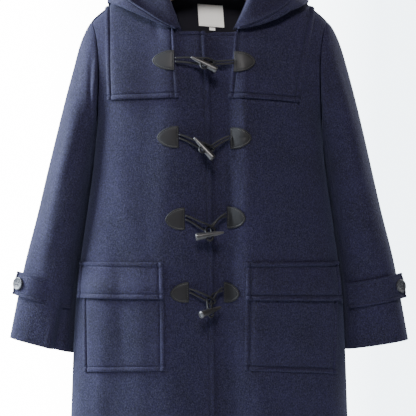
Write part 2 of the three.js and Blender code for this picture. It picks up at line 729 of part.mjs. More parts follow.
// From the top: the tabs' straight sides and tips, the loop on the wearer's right, and the cord
// on the left, whose two strands pass through the loop and the toggle's bores.
// Below is the way in which the cord leaves the bores.
const closures = [
  {
    tabs: [
      { hand: -1, straight: 60.5, tip: 98.8, top: -231.6, low: -266.4, fall: 0, room: 0.3 },
      { hand: 1, straight: 43.8, tip: 79.4, top: -232.4, low: -268.9, fall: 0, room: 0.3 },
    ],
    loop: [
      [-59.3, -81.4, -243.8], [-40, -84.5, -243.2], [-18, -86.5, -244.2], [1, -87, -245.8],
      [9, -86.5, -251.6], [1, -86, -257.4], [-18, -85.5, -254.8], [-40, -84, -251.4],
      [-59.3, -81.2, -249.8],
    ],
    upper: [
      [42.6, -77.8, -247.4], [24, -79, -248.6], [9, -80, -249.6], [0, -82, -250], [-7, -88, -248.6],
    ],
    lower: [
      [0, -90, -252], [1, -83, -253], [10, -80, -254], [26, -78.8, -253.4], [42.6, -77.6, -252.4],
    ],
    toggle: { thin: [-31.6, -99, -243.6], thick: [13.2, -97, -266] },
    below: [-0.37, -0.57, -0.73],
  },
  {
    tabs: [
      { hand: -1, straight: 53.3, tip: 90.5, top: -361.9, low: -399.9, fall: 1 },
      { hand: 1, straight: 37.5, tip: 72.9, top: -363.6, low: -401.6, fall: 0 },
    ],
    loop: [
      [-51.9, -88.2, -376.6], [-40, -90, -380.2], [-24.5, -91, -386.6], [-4, -91, -393.6],
      [8.5, -90, -402], [0, -89, -407.4], [-20, -89, -397.6], [-38, -89, -388.4], [-51.9, -88, -382.8],
    ],
    upper: [
      [35, -81, -379.2], [26, -82.4, -382.4], [13, -84, -389.6], [4, -85, -395.8], [-3, -88.5, -398.6],
    ],
    lower: [
      [-1, -91.5, -402.4], [4, -84.5, -401.4], [13, -82, -396], [25, -80.6, -388], [35, -80.6, -384.2],
    ],
    toggle: { thin: [-23.8, -101, -385], thick: [4.6, -107, -416] },
    below: [-0.6, -0.57, -0.55],
  },
  {
    tabs: [
      { hand: -1, straight: 42.9, tip: 76.7, top: -502.9, low: -541.8, fall: 2 },
      { hand: 1, straight: 31.8, tip: 63.3, top: -500.3, low: -539.2, fall: 2, room: 1 },
    ],
    loop: [
      [-41, -91.2, -517], [-30, -92.5, -520.6], [-14, -93, -528], [2, -92.5, -534.8], [10, -91.5, -542],
      [2, -91, -547.6], [-14, -91.5, -538.6], [-30, -91.5, -528.6], [-41, -91, -523.2],
    ],
    upper: [
      [29.2, -81.2, -512.6], [23, -82, -516.4], [15, -84.5, -523.6], [8.5, -86, -533],
      [3, -89.5, -539.8], [2.6, -94, -541],
    ],
    lower: [
      [-6, -96.4, -541.4], [-4, -90, -538], [3, -85.4, -534.8], [11, -82.4, -527], [20, -80, -520.8],
      [29.2, -81, -518],
    ],
    toggle: { thin: [23.5, -100, -545.9], thick: [-21.2, -106, -553.6] },
    below: [0.1, -0.35, -0.93],
  },
  {
    tabs: [
      { hand: -1, straight: 36, tip: 68, top: -631.5, low: -667, fall: 3 },
      { hand: 1, straight: 25.3, tip: 52.9, top: -631.5, low: -667.7, fall: 3, room: 2.4 },
    ],
    loop: [
      [-34, -92, -643.4], [-24, -93.5, -646.4], [-9, -94, -652.4], [4, -93.5, -659],
      [10.5, -92.5, -664.5], [4, -92, -669.4], [-9, -92.5, -661.4], [-24, -92.5, -653.8],
      [-34, -91.8, -649.4],
    ],
    upper: [
      [23.6, -80.4, -641.6], [18, -82, -645.4], [12.5, -85.5, -652], [9, -87, -658.6], [4, -91, -663.4],
      [3.4, -96.5, -665.6],
    ],
    lower: [
      [-3.4, -98, -663.6], [-3, -91, -660.4], [3, -86.4, -657.4], [7.4, -82.4, -652.4],
      [15, -80, -649.4], [23.6, -80, -647.2],
    ],
    toggle: { thin: [18.3, -88, -675.6], thick: [-12.6, -118, -686] },
    below: [0, 0, -1],
  },
];

const vector = (place) => new THREE.Vector3(...place);

// Leather patch with one straight side and a pointed arch.
function tabSurface({ hand, straight, tip, top, low, fall }) {
  return (u, v) => {
    const half = (top - low) / 2 * Math.max(1 - u ** 2.3, 0.004) ** 0.62;
    const z = (top + low) / 2 - fall * u + (2 * v - 1) * half;
    return bodyPoint(-1, z, hand * angleAt(z, mix(straight, tip, u)));
  };
}

// Horn: pointed below, blunt on top, along Y, with two bores across it.
function toggleSolid(across) {
  const half = toggleLength / 2;
  const horn = solid(new THREE.LatheGeometry([
    new THREE.Vector2(0, -half),
    new THREE.Vector2(1.5, -half + 0.5),
    new THREE.Vector2(2.4, -half + 4),
    new THREE.Vector2(4.2, -6),
    new THREE.Vector2(5.6, 10),
    new THREE.Vector2(6.4, half - 1.2),
    new THREE.Vector2(5.6, half),
    new THREE.Vector2(0, half),
  ], 10));
  return geometryOf(bores.reduce((left, place) => {
    const drill = new THREE.CylinderGeometry(boreRadius, boreRadius, 4 * cordRadius * 3, 6);
    drill.applyQuaternion(new THREE.Quaternion().setFromUnitVectors(new THREE.Vector3(0, 1, 0), across));
    drill.translate(0, place, 0);
    return left.subtract(solid(drill));
  }, horn));
}

closures.forEach((closure, row) => {
  const number = row + 1;
  for (const tab of closure.tabs) {
    const surface = tabSurface(tab);
    const yoke = row === 0 ? layGap + cloth : 0;
    const lift = tab.hand < 0 ? (u, v) => lapLift(surface(u, v).x) : () => 0;
    const low = (u, v) => tabGap + yoke + (tab.room ?? 0) + lift(u, v);
    addPiece(`toggle_tab_${sideName[tab.hand]}_${number}`,
      wall(surface, tabStops, range(2), low, (u, v) => low(u, v) + tabWall, tab.hand), leather);
  }
  addPiece(`toggle_loop_${number}`, tube(closure.loop.map(vector), cordRadius, 6, 18), leather);

  const [thin, thick] = [vector(closure.toggle.thin), vector(closure.toggle.thick)];
  const axis = thick.clone().sub(thin).normalize();
  const middle = thin.clone().lerp(thick, 0.5);
  const through = vector(closure.below).addScaledVector(axis, -vector(closure.below).dot(axis)).normalize();
  const turn = new THREE.Quaternion().setFromUnitVectors(new THREE.Vector3(0, 1, 0), axis);
  const toggle = addPiece(`toggle_${number}`,
    toggleSolid(through.clone().applyQuaternion(turn.clone().invert())), horn);
  toggle.quaternion.copy(turn);
  toggle.position.copy(middle);

  const [first, second] = bores.map((place) => middle.clone().addScaledVector(axis, place));
  const beside = (bore, distance) => bore.clone().addScaledVector(through, distance);
  addPiece(`toggle_cord_${number}`, tube([
    ...closure.upper.map(vector),
    beside(first, -lead), first, beside(first, lead),
    first.clone().lerp(second, 0.5).addScaledVector(through, lead + 3),
    beside(second, lead), second, beside(second, -lead),
    ...closure.lower.map(vector),
  ], cordRadius, 6, 34), leather);
});

// ---------------------------------------------------------------- inside the neck

const facingHalf = 67;
const facingSurface = (u, v) => {
  const x = mix(-facingHalf, facingHalf, u);
  const top = backTopZ(x) - 5;
  const z = mix(top - 14 - 112 * Math.sin(Math.PI * u), top, v);
  return bodyPoint(1, z, angleAt(z, x));
};
const facingWall = 1.2;
const facingLow = -cloth - layGap - 0.95 - facingWall;
addPiece('back_neck_facing',
  wall(facingSurface, range(10), range(4), facingLow, facingLow + facingWall, -1), lining);

const labelWall = 0.8;
function labelAt(name, { x, top, width, height, tilt }) {
  const surface = (u, v) => {
    const across = mix(-width / 2, width / 2, u);
    const drop = (1 - v) * height;
    const place = { x: x + across + drop * tilt, z: top - drop - across * tilt };
    return bodyPoint(1, place.z, angleAt(place.z, place.x));
  };
  const high = facingLow - seam - 0.5;
  addPiece(name, wall(surface, range(3), range(2), high - labelWall, high, -1), labelCloth);
}
labelAt('neck_label', { x: 1.5, top: -135.5, width: 46, height: 39, tilt: 0.07 });
labelAt('size_tab', { x: 5.5, top: -176, width: 10.5, height: 5, tilt: 0.07 });

// ---------------------------------------------------------------- hanger

const hangerPower = 2.6;
const arms = [
  { x: -198, top: -167.6, height: 9, thick: 9 },
  { x: -190, top: -159.6, height: 16, thick: 12 },
  { x: -165, top: -144.6, height: 24, thick: 14 },
  { x: -130, top: -127.6, height: 29, thick: 14 },
  { x: -85, top: -108.6, height: 31, thick: 14 },
  { x: -40, top: -93.6, height: 34, thick: 14 },
  { x: 0, top: -85.6, height: 38, thick: 14 },
];
const hangerRows = [...arms, ...arms.slice(0, -1).reverse().map((row) => ({ ...row, x: -row.x }))];
const hangerStops = range(20).map((t) => mix(-198, 198, t));
function hangerGeometry() {
  const sides = 10;
  const positions = [];
  const index = [];
  for (const x of hangerStops) {
    const [top, height, thick] = ['top', 'height', 'thick'].map((key) => along(hangerRows, 'x', key, x));
    for (let k = 0; k < sides; k += 1) {
      const turn = 2 * Math.PI * (k / sides);
      positions.push(x, (thick / 2) * signedPower(Math.cos(turn), 2 / hangerPower),
        top - height / 2 + (height / 2) * signedPower(Math.sin(turn), 2 / hangerPower));
    }
  }
  const rings = hangerStops.length;
  for (let j = 0; j < rings - 1; j += 1) {
    for (let k = 0; k < sides; k += 1) {
      const a = j * sides + k;
      const b = j * sides + ((k + 1) % sides);
      index.push(a, b, b + sides, a, b + sides, a + sides);
    }
  }
  const last = (rings - 1) * sides;
  for (let k = 1; k < sides - 1; k += 1) {
    index.push(0, k + 1, k);
    index.push(last, last + k, last + k + 1);
  }
  const geometry = new THREE.BufferGeometry();
  geometry.setAttribute('position', new THREE.Float32BufferAttribute(positions, 3));
  geometry.setIndex(index);
  geometry.computeVertexNormals();
  return geometry;
}
addPiece('hanger_wood', hangerGeometry(), beech);

const wire = 2;           // radius of the hook's wire
const hookRadius = 20;    // inside of the bend
const bend = hookRadius + wire;
const hookPoints = [
  new THREE.Vector3(0, 0, -86),
  new THREE.Vector3(0, 0, -66),
  new THREE.Vector3(0.5, 0, -54),
  new THREE.Vector3(6, 0, -44),
];
for (let degrees = -50; degrees <= 215; degrees += 20) {
  const turn = THREE.MathUtils.degToRad(degrees);
  hookPoints.push(new THREE.Vector3(bend * Math.cos(turn), 0, -hookRadius + bend * Math.sin(turn)));
}
addPiece('hanger_hook', tube(hookPoints, wire, 8, 28), steel);

export default coat;
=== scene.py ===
import math

import bmesh
import bpy
import numpy as np
from mathutils import Matrix, Vector


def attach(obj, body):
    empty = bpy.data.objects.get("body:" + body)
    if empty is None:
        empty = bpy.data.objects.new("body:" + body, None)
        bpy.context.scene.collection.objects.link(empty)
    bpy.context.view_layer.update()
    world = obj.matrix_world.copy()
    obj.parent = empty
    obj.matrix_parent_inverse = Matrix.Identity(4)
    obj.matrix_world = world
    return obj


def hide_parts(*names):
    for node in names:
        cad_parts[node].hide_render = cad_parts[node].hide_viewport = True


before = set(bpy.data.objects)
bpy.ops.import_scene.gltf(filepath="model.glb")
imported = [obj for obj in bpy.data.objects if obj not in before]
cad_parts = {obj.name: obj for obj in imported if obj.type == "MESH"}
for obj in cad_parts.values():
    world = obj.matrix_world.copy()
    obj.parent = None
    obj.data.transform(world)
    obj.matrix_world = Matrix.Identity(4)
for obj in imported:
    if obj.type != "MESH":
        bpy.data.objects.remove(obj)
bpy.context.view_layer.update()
mm = 0.001
print("frame loaded")


# numbers

def mix(a, b, t):
    return a + (b - a) * t


def smooth(at, low, high):
    t = np.clip((at - low) / (high - low), 0, 1)
    return t * t * (3 - 2 * t)


def signedPower(base, power):
    return np.sign(base) * np.abs(base) ** power


# 1 in the middle, fading within the width to both sides
def bell(offset, width):
    return np.exp(-((offset / width) ** 2))


def unit(vectors):
    return vectors / np.linalg.norm(vectors, axis=-1, keepdims=True)


# angles evenly spread round a circle
def roundAngles(count):
    return np.linspace(0, 2 * np.pi, count, endpoint=False)


# smooth value between two places a step apart, from the value and the slope at each
def hermite(t, step, values, slopes):
    t2, t3 = t * t, t * t * t
    return ((2 * t3 - 3 * t2 + 1) * values[0] + (3 * t2 - 2 * t3) * values[1]
            + (t3 - 2 * t2 + t) * step * slopes[0] + (t3 - t2) * step * slopes[1])


# smooth value of a table's column at a place in its rising key column
def along(table, key, column, at):
    keys = np.array(table[key], float)
    values = np.array(table[column], float)
    at = np.asarray(at, float)
    i = np.clip(np.searchsorted(keys, at) - 1, 0, len(keys) - 2)
    before = np.maximum(np.arange(len(keys)) - 1, 0)
    after = np.minimum(np.arange(len(keys)) + 1, len(keys) - 1)
    slopes = (values[after] - values[before]) / (keys[after] - keys[before])
    step = keys[i + 1] - keys[i]
    t = np.clip((at - keys[i]) / step, 0, 1)
    return hermite(t, step, (values[i], values[i + 1]), (slopes[i], slopes[i + 1]))


# the coat's own sizes, in millimetres

coat = {
    "cloth": 2.6,          # melton thickness
    "seam": -0.1,          # fronts and back touch at the side and shoulder seams
    "hemZ": -970,
    "underarmZ": -350,
    "shoulderTipZ": -171.5,
    "neckFrontZ": -196,
    "neckCorner": {-1: 54, 1: 46},   # end of the neck edge on each front
    "neckBackZ": -120,
    "neckPointX": 85,
    "roundness": 2.4,      # of the body's section
    "capDepth": 220,       # height over which the shoulders round off
    "capPower": 2.2,
    "underlap": 45,        # width of the left front below the right one
    "lapLift": 4.0,        # how far the lapping edge stands off
    "lapRise": (-112, -62),  # x where it starts to stand off, and where it does fully
    "layGap": 0.5,         # room below a piece that lies on a panel
    "bendShare": 0.46,     # place of the underarm among a panel's grid lines
}

# body sections: side is where a panel ends, reach the section's own half width
bodySections = {
    "z": [-980, -874, -750, -657, -575, -504, -440, -370, -350, -335, -300, -265, -230, -205, -188,
          -171, -90],
    "side": [250.5, 246, 241.5, 236, 226, 216, 207, 200.5, 199, 196.5, 194, 193.5, 195.5, 199, 203,
             209, 225],
    "reach": [250.5, 246, 241.5, 236, 226, 216, 207, 200.5, 199.2, 202.5, 220, 236, 246, 251, 252,
              253, 255],
    "front": [92, 91, 90, 89, 88, 87, 86, 84, 83, 82, 80, 76, 69, 63, 59, 56, 46],
    "back": [76, 75, 74, 73, 72, 71, 70, 68, 67.5, 67, 66, 65, 64, 63, 62, 61, 60],
}
shoulderLine = {
    "x": [0, 60, 85, 100, 130, 160, 180, 190, 200, 209, 230],
    "z": [-87, -95, -103, -108.5, -121, -135.5, -147, -154, -162.5, -171.5, -196],
}
frontEdge = {
    "z": [-980, -874, -330, -196, -90],
    "x": [10, 9, 0.5, -7.5, -12],
}

# Main folds of the front (-1) and the back (1): x at the top and at the hem, width to the left and to
# the right, depth (negative where the cloth stands out), heights where it starts and is full.
bodyFolds = {
    -1: [
        (16, 28, 58, 24, 14, -205, -330),
        (-100, -96, 50, 40, -4, -320, -520),
        (78, 92, 26, 45, -5, -240, -430),
        (176, 184, 26, 22, 5, -420, -760),
        (-160, -176, 24, 30, 4, -520, -900),
    ],
    1: [
        (-95, -120, 34, 40, 9, -330, -620),
        (12, 20, 44, 40, -5, -300, -600),
        (118, 142, 40, 30, 8, -360, -700),
    ],
}

# small creases of the body cloth: x and z of one end and of the other, width across, depth inwards
bodyCreases = {
    -1: [
        (-158, -170, -172, -620, 36, -4.6),
        (-101, -300, -97, -1000, 42, 3.0),
        (-186, -560, -196, -990, 26, -3.6),
        (-188, -205, -172, -345, 9, 3.2),
        (21, -190, 27, -900, 15, 3.6),
        (-98, -172, -86, -214, 8, 2.6),
        (72, -190, 66, -216, 8, 2.0),
        (57, -190, 62, -640, 15, -3.6),
        (-168, -330, -118, -470, 22, 1.6),
        (-196, -372, -150, -640, 17, 2.0),
        (-158, -600, -150, -800, 12, 2.2),
        (-118, -560, -112, -900, 15, -1.6),
        (-62, -420, -70, -760, 14, 1.3),
        (-205, -700, -214, -985, 13, 2.6),
        (120, -330, 150, -560, 24, 1.9),
        (186, -340, 150, -450, 15, 2.0),
        (196, -205, 182, -345, 10, 2.6),
        (118, -700, 128, -985, 16, 2.4),
        (206, -480, 222, -930, 12, -1.7),
        (64, -250, 58, -420, 9, -1.4),
    ],
    1: [
        (-182, -230, -150, -420, 16, 3.4),
        (184, -225, 160, -400, 14, 3.0),
        (-60, -340, -74, -700, 18, 2.2),
        (64, -420, 84, -960, 20, 2.0),
        (-190, -520, -206, -960, 15, 2.4),
        (196, -560, 214, -985, 17, 2.8),
        (-20, -560, -34, -985, 14, -2.0),
    ],
}

# shares of a crease's length over which it deepens and fades out
creaseFade = {"in": (-0.12, 0.3), "out": (0.66, 1.12)}


def shoulderZ(x):
    return along(shoulderLine, "x", "z", np.abs(x))


# how far the section has opened at a depth below the shoulder line
def capAt(depth):
    s = np.clip(depth / coat["capDepth"], 0, 1)
    return (1 - (1 - s) ** coat["capPower"]) ** (1 / coat["capPower"])


# soft trough along a line between two ends, fading out at both
def troughAt(x, z, crease):
    x0, z0, x1, z1, width, depth = crease
    length = math.hypot(x1 - x0, z1 - z0)
    dx, dz = (x1 - x0) / length, (z1 - z0) / length
    t = ((x - x0) * dx + (z - z0) * dz) / length
    across = (x - x0) * dz - (z - z0) * dx
    fade = smooth(t, *creaseFade["in"]) * (1 - smooth(t, *creaseFade["out"]))
    return depth * fade * bell(across, width)


def foldOffset(face, x, z):
    offset = np.zeros(np.broadcast(x, z).shape)
    for topX, hemX, left, right, depth, start, full in bodyFolds[face]:
        down = np.clip((z - start) / (coat["hemZ"] - start), 0, 1)
        centre = mix(topX, hemX, down)
        width = np.where(x < centre, left, right)
        grown = 1 - smooth(z, full, start)
        offset -= face * depth * grown * bell(x - centre, width)
    for crease in bodyCreases[face]:
        offset -= face * troughAt(x, z, crease)
    return offset


# angle at which the section at a height passes a given x
def angleAt(z, x):
    reach = along(bodySections, "z", "reach", z)
    return np.arcsin(signedPower(np.clip(x / reach, -1, 1), coat["roundness"] / 2))


# point of the body's outer face: face is -1 in front and 1 at the back
def bodyPoint(face, z, angle):
    reach = along(bodySections, "z", "reach", z)
    x = reach * signedPower(np.sin(angle), 2 / coat["roundness"])
    opened = np.maximum(np.cos(angle), 0) ** (2 / coat["roundness"]) * capAt(shoulderZ(x) - z)
    depth = along(bodySections, "z", "front" if face < 0 else "back", z)
    y = face * (coat["seam"] / 2 + depth * opened) + foldOffset(face, x, z) * opened
    return np.stack(np.broadcast_arrays(x, y, z), -1)


def sideX(z):
    return np.minimum(along(bodySections, "z", "side", z), along(bodySections, "z", "reach", z))


def sideAngle(z):
    return angleAt(z, sideX(z))


def edgeX(z):
    return along(frontEdge, "z", "x", z)


# how far the wearer's right front stands off where it laps over the left one
def lapLift(hand, x):
    return coat["lapLift"] * smooth(x, *coat["lapRise"]) if hand < 0 else 0 * x


def frontTopZ(hand, x):
    corner = coat["neckCorner"][hand]
    low, point = coat["neckFrontZ"], coat["neckPointX"]
    share = np.clip((x - corner) / (point - corner), 0, 1)
    sloped = mix(low, shoulderZ(point), share ** 1.12)
    return np.where(x <= corner, low, np.where(x >= point, shoulderZ(x), sloped))


def backTopZ(x):
    point = coat["neckPointX"]
    curved = mix(coat["neckBackZ"], shoulderZ(point), np.clip(np.abs(x / point), 0, 1) ** 2.4)
    return np.where(np.abs(x) >= point, shoulderZ(x), curved)


# surface on the body between two edges, up to a top line sampled at many columns
def bodySurface(face, hand, fromX, toX, bottomZ, topZ, topFrom, topTo=209, bendZ=None):
    columns = np.linspace(topFrom, topTo, 240)
    bendShare = coat["bendShare"]
    z = topZ(columns)
    low, high = angleAt(z, fromX(z)), angleAt(z, toX(z))
    stops = (angleAt(z, columns) - low) / (high - low)
    stops[0], stops[-1] = 0, 1

    def surface(u, v):
        top = np.interp(u, stops, z)
        bottom = bottomZ(u)
        height = mix(bottom, top, v)
        if bendZ is not None:
            lower = mix(bottom, bendZ, v / bendShare)
            upper = mix(bendZ, top, (v - bendShare) / (1 - bendShare))
            height = np.where(v < bendShare, lower, upper)
        angle = mix(angleAt(height, fromX(height)), angleAt(height, toX(height)), u)
        return bodyPoint(face, height, hand * angle)
    return surface


# shells of cloth

sides = ("left", "right", "low", "top")


# set places near both ends of a line from edge to edge
def endPlaces(total, startMarks, endMarks):
    scale = min(1, 0.46 * total / max(startMarks[-1], endMarks[-1]))
    return np.array(startMarks, float) * scale, total - np.array(endMarks, float)[::-1] * scale


# places near both ends, and evenly spread ones between them
def filled(start, end, count):
    return np.concatenate([start, np.linspace(start[-1], end[0], count + 2)[1:-1], end])


def arcLength(points, axis):
    steps = np.linalg.norm(np.diff(points, axis=axis), axis=-1)
    return np.insert(np.cumsum(steps, axis=axis), 0, 0, axis=axis)


# Grid on a surface whose lines keep their distances from the four edges.
# Where level is set, widths are measured along the ground.
def fitGrid(surface, marks, step, level=False):
    uDense = np.linspace(0, 1, 161)
    vDense = np.linspace(0, 1, 121)
    u, v = np.meshgrid(uDense, vDense)
    dense = surface(u, v)
    across = arcLength(dense * (1, 1, 0) if level else dense, 1)
    up = arcLength(dense, 0)

    def between(lines, share):
        place = share * (len(lines) - 1)
        k = min(int(place), len(lines) - 2)
        return mix(lines[k], lines[k + 1], place - k)

    width, height = across[:, -1].mean(), up[-1].mean()
    columns = max(1, round((width - marks["left"][-1] - marks["right"][-1]) / step))
    rows = max(1, round((height - marks["low"][-1] - marks["top"][-1]) / step))
    vGuess = filled(*endPlaces(height, marks["low"], marks["top"]), rows) / height
    uGrid, left, right = [], [], []
    for share in vGuess:
        line = between(across, share)
        places = filled(*endPlaces(line[-1], marks["left"], marks["right"]), columns)
        uGrid.append(np.interp(places, line, uDense))
        left.append(places)
        right.append(line[-1] - places)
    uGrid = np.array(uGrid)
    vGrid, low, top = [], [], []
    for share in uGrid[len(uGrid) // 2]:
        line = between(up.T, share)
        start, end = endPlaces(line[-1], marks["low"], marks["top"])
        column = filled(np.interp(start, line, vDense), np.interp(end, line, vDense), rows)
        places = np.interp(column, vDense, line)
        vGrid.append(column)
        low.append(places)
        top.append(line[-1] - places)
    distances = {"left": np.array(left), "right": np.array(right),
                 "low": np.array(low).T, "top": np.array(top).T}
    return surface(uGrid, np.array(vGrid).T), distances


def normalsOf(points, turn):
    normal = np.cross(np.gradient(points, axis=1), np.gradient(points, axis=0))
    return turn * normal / np.maximum(np.linalg.norm(normal, axis=-1, keepdims=True), 1e-9)


def plainMarks(edge=9):
    return [0, 1.4, 3.6, edge]


def stitchMarks(at):
    return [0, 1.2, at * 0.36, at * 0.62, at - 1.5, at - 0.7, at, at + 0.7, at + 1.6, at + 3.6, at + 8]


# dent of a stitch line, and the fuller edge outside it
def stitchRelief(distance, at, dent, fullness):
    pressed = dent * bell(distance - at, 1.15)
    broad = 0.5 * dent * bell(distance - at, 4.5)
    full = fullness * np.sin(np.pi * np.clip(distance / at, 0, 1)) ** 0.8
    return full - pressed - broad


def newObject(name, mesh):
    piece = bpy.data.objects.new(name, mesh)
    bpy.context.scene.collection.objects.link(piece)
    return piece


def finishPiece(piece, material, slot, replaced=()):
    piece.data.materials.clear()
    piece.data.materials.append(material)
    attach(piece, "root")
    if replaced:
        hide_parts(*replaced)
    return piece


def objectFrom(name, bm):
    mesh = bpy.data.meshes.new(name)
    bm.to_mesh(mesh)
    bm.free()
    return newObject(name, mesh)


# Smooth quads between rows of points, with their layout on the flat piece. Closed rows go all the way
# round, and carry where each point was made.
def gridMesh(points, flat, closed=False):
    rows, columns = points.shape[:2]
    across = columns if closed else columns - 1
    bm = bmesh.new()
    bmesh.ops.create_grid(bm, x_segments=across, y_segments=rows - 1, size=0.5)
    uvLayer = bm.loops.layers.uv.new("cut")
    grainLayer = bm.verts.layers.float_vector.new("grain") if closed else None
    places = {}
    for vert in bm.verts:
        i = round((vert.co.x + 0.5) * across)
        j = round((vert.co.y + 0.5) * (rows - 1))
        places[vert] = (j, i % columns)
    for vert, place in places.items():
        vert.co = Vector(points[place]) * mm
        if closed:
            vert[grainLayer] = vert.co
    for face in bm.faces:
        face.smooth = True
        for loop in face.loops:
            loop[uvLayer].uv = flat[places[loop.vert]] * mm
    return bm


# Wall of cloth on a surface, its outer face at a lift along the normal. sewn holds the distance of the
# stitches from each sewn edge, and marks the grid lines beside edges that need their own.
def makeShell(node, surface, turn, look, sewn, lift, marks, relief):
    usual = {side: stitchMarks(sewn[side]) if side in sewn else plainMarks() for side in sides}
    points, distances = fitGrid(surface, {**usual, **marks}, look["step"], look.get("level", False))
    normal = normalsOf(points, turn)
    height = lift(points) if callable(lift) else np.full(points.shape[:2], float(lift))
    for side, at in sewn.items():
        height = height + stitchRelief(distances[side], at, look["dent"], look["fullness"])
    if relief is not None:
        height = height + relief(distances)
    outer = points + normal * height[..., None]
    bm = gridMesh(outer, np.stack([distances["left"], distances["low"]], -1))
    middle = (outer.shape[0] // 2, outer.shape[1] // 2)
    centre = Vector(outer[middle])
    bm.normal_update()
    sample = min(bm.faces, key=lambda f: (f.calc_center_median() / mm - centre).length)
    if sample.normal.dot(Vector(normal[middle])) < 0:
        bmesh.ops.reverse_faces(bm, faces=bm.faces)
    piece = objectFrom(node + "_cloth", bm)
    wall = piece.modifiers.new("wall", "SOLIDIFY")
    wall.thickness = look.get("cloth", coat["cloth"]) * mm
    wall.offset = -1
    wall.use_rim = True
    soft = piece.modifiers.new("soft edge", "BEVEL")
    soft.width = look["round"] * mm
    soft.segments = 3
    soft.limit_method = "ANGLE"
    soft.angle_limit = math.radians(55)
    soft.material = -1
    return {"piece": piece, "outer": outer, "normal": normal, "distances": distances}


# materials

class Port:
    def __init__(self, graph, socket):
        self.graph = graph
        self.socket = socket

    def sum(self, operation, *values):
        return self.graph.node("ShaderNodeMath", {"operation": operation}, dict(enumerate(values)))

    def __add__(self, other):
        return self.sum("ADD", self, other)

    def __radd__(self, other):
        return self.sum("ADD", other, self)

    def __sub__(self, other):
        return self.sum("SUBTRACT", self, other)

    def __rsub__(self, other):
        return self.sum("SUBTRACT", other, self)

    def __mul__(self, other):
        return self.sum("MULTIPLY", self, other)

    def __rmul__(self, other):
        return self.sum("MULTIPLY", other, self)

    # 0 below low and 1 above high
    def between(self, low, high):
        settings = {"interpolation_type": "SMOOTHSTEP"}
        inputs = {"Value": self, "From Min": low, "From Max": high}
        return self.graph.node("ShaderNodeMapRange", settings, inputs)


class Graph:
    def __init__(self, owner, shader="Principled BSDF"):
        self.owner = owner
        owner.use_nodes = True
        self.tree = owner.node_tree
        self.shader = self.tree.nodes[shader]

    def node(self, kind, settings=None, inputs=None, output=0):
        node = self.tree.nodes.new(kind)
        for key, value in (settings or {}).items():
            setattr(node, key, value)
        for key, value in (inputs or {}).items():
            self.feed(node.inputs[key], value)
        return Port(self, node.outputs[output])

    def feed(self, socket, value):
        if isinstance(value, Port):
            self.tree.links.new(value.socket, socket)
        elif hasattr(value, "__len__") and len(value) == 3 and socket.type == "RGBA":
            socket.default_value = (*value, 1)
        else:
            socket.default_value = value

    def place(self, kind="Object"):
        return self.node("ShaderNodeTexCoord", output=kind)

    def attribute(self, name):
        return self.node("ShaderNodeAttribute", {"attribute_name": name}, output="Vector")

    def mapped(self, vector, scale=(1, 1, 1), turn=(0, 0, 0)):
        return self.node("ShaderNodeMapping", None, {"Vector": vector, "Scale": scale, "Rotation": turn})

    def noise(self, vector, scale, detail=3, roughness=0.55, distortion=0):
        inputs = {"Vector": vector, "Scale": scale, "Detail": detail, "Roughness": roughness,
                  "Distortion": distortion}
        return self.node("ShaderNodeTexNoise", None, inputs)

    def cells(self, vector, scale, feature="F1"):
        settings = {"feature": feature}
        return self.node("ShaderNodeTexVoronoi", settings, {"Vector": vector, "Scale": scale})

    def waves(self, vector, scale, direction="X", distortion=0):
        settings = {"wave_type": "BANDS", "bands_direction": direction}
        return self.node("ShaderNodeTexWave", settings,
                         {"Vector": vector, "Scale": scale, "Distortion": distortion})

    def tint(self, share, first, second):
        inputs = {0: share, 6: first, 7: second}
        return self.node("ShaderNodeMix", {"data_type": "RGBA"}, inputs, 2)

    def bump(self, height, distance, strength=1.0, after=None):
        inputs = {"Height": height, "Distance": distance, "Strength": strength}
        if after:
            inputs["Normal"] = after
        return self.node("ShaderNodeBump", None, inputs)

    def surface(self, **values):
        for key, value in values.items():
            self.feed(self.shader.inputs[key.replace("_", " ")], value)
        return self.owner


def newMaterial(name):
    return Graph(bpy.data.materials.new(name))


melton = {
    "dark": (0.0011, 0.0009, 0.0044),
    "light": (0.0100, 0.0084, 0.0318),
    "hair": (0.052, 0.054, 0.082),     # loose lighter fibres
    "fibreScale": 1200,
    "napScale": 520,
    "cloudScale": 16,
    "sheen": 0.05,
    "sheenTint": (0.5, 0.6, 1.0),
}


def makeMelton(name):
    g = newMaterial(name)
    place = g.place()
    stretched = g.mapped(place, (1, 1, 0.6), (0.3, 0.5, 0.9))
    fibre = g.noise(stretched, melton["fibreScale"], 3, 0.6, 0.5)
    nap = g.noise(g.mapped(place, (1, 1, 0.75), (0.2, 0.6, 0.8)), melton["napScale"], 3, 0.6, 0.3)
    cloud = g.noise(place, melton["cloudScale"], 2, 0.5)
    flecks = g.noise(g.mapped(place, (1, 1, 0.8), (0.5, 0.1, 0.4)), melton["napScale"], 2, 0.6)
    tone = nap * 0.55 + fibre * 0.45 + cloud * 0.12 - 0.06
    base = g.tint(tone.between(0.37, 0.63), melton["dark"], melton["light"])
    base = g.tint(flecks.between(0.48, 0.66) * 0.24, base, melton["hair"])
    lumpy = g.bump(nap, 0.0016, 0.6)
    normal = g.bump(fibre, 0.0004, 0.45, lumpy)
    return g.surface(Base_Color=base, Roughness=0.95 - 0.12 * nap, Normal=normal,
                     Sheen_Weight=melton["sheen"], Sheen_Roughness=0.5,
                     Sheen_Tint=(*melton["sheenTint"], 1), Specular_IOR_Level=0.2)


def makeLining():
    g = newMaterial("lining twill")
    cut = g.place("UV")
    rib = g.waves(g.mapped(cut, (1, 1, 1), (0, 0, 0.78)), 520)
    slub = g.noise(g.mapped(cut, (1, 8, 1)), 160, 3)
    base = g.tint(slub * 0.7 + rib * 0.3, (0.0016, 0.0015, 0.0042), (0.0042, 0.0040, 0.0105))
    return g.surface(Base_Color=base, Roughness=0.6 + 0.2 * slub, Normal=g.bump(rib, 0.00012, 0.4),
                     Specular_IOR_Level=0.25)


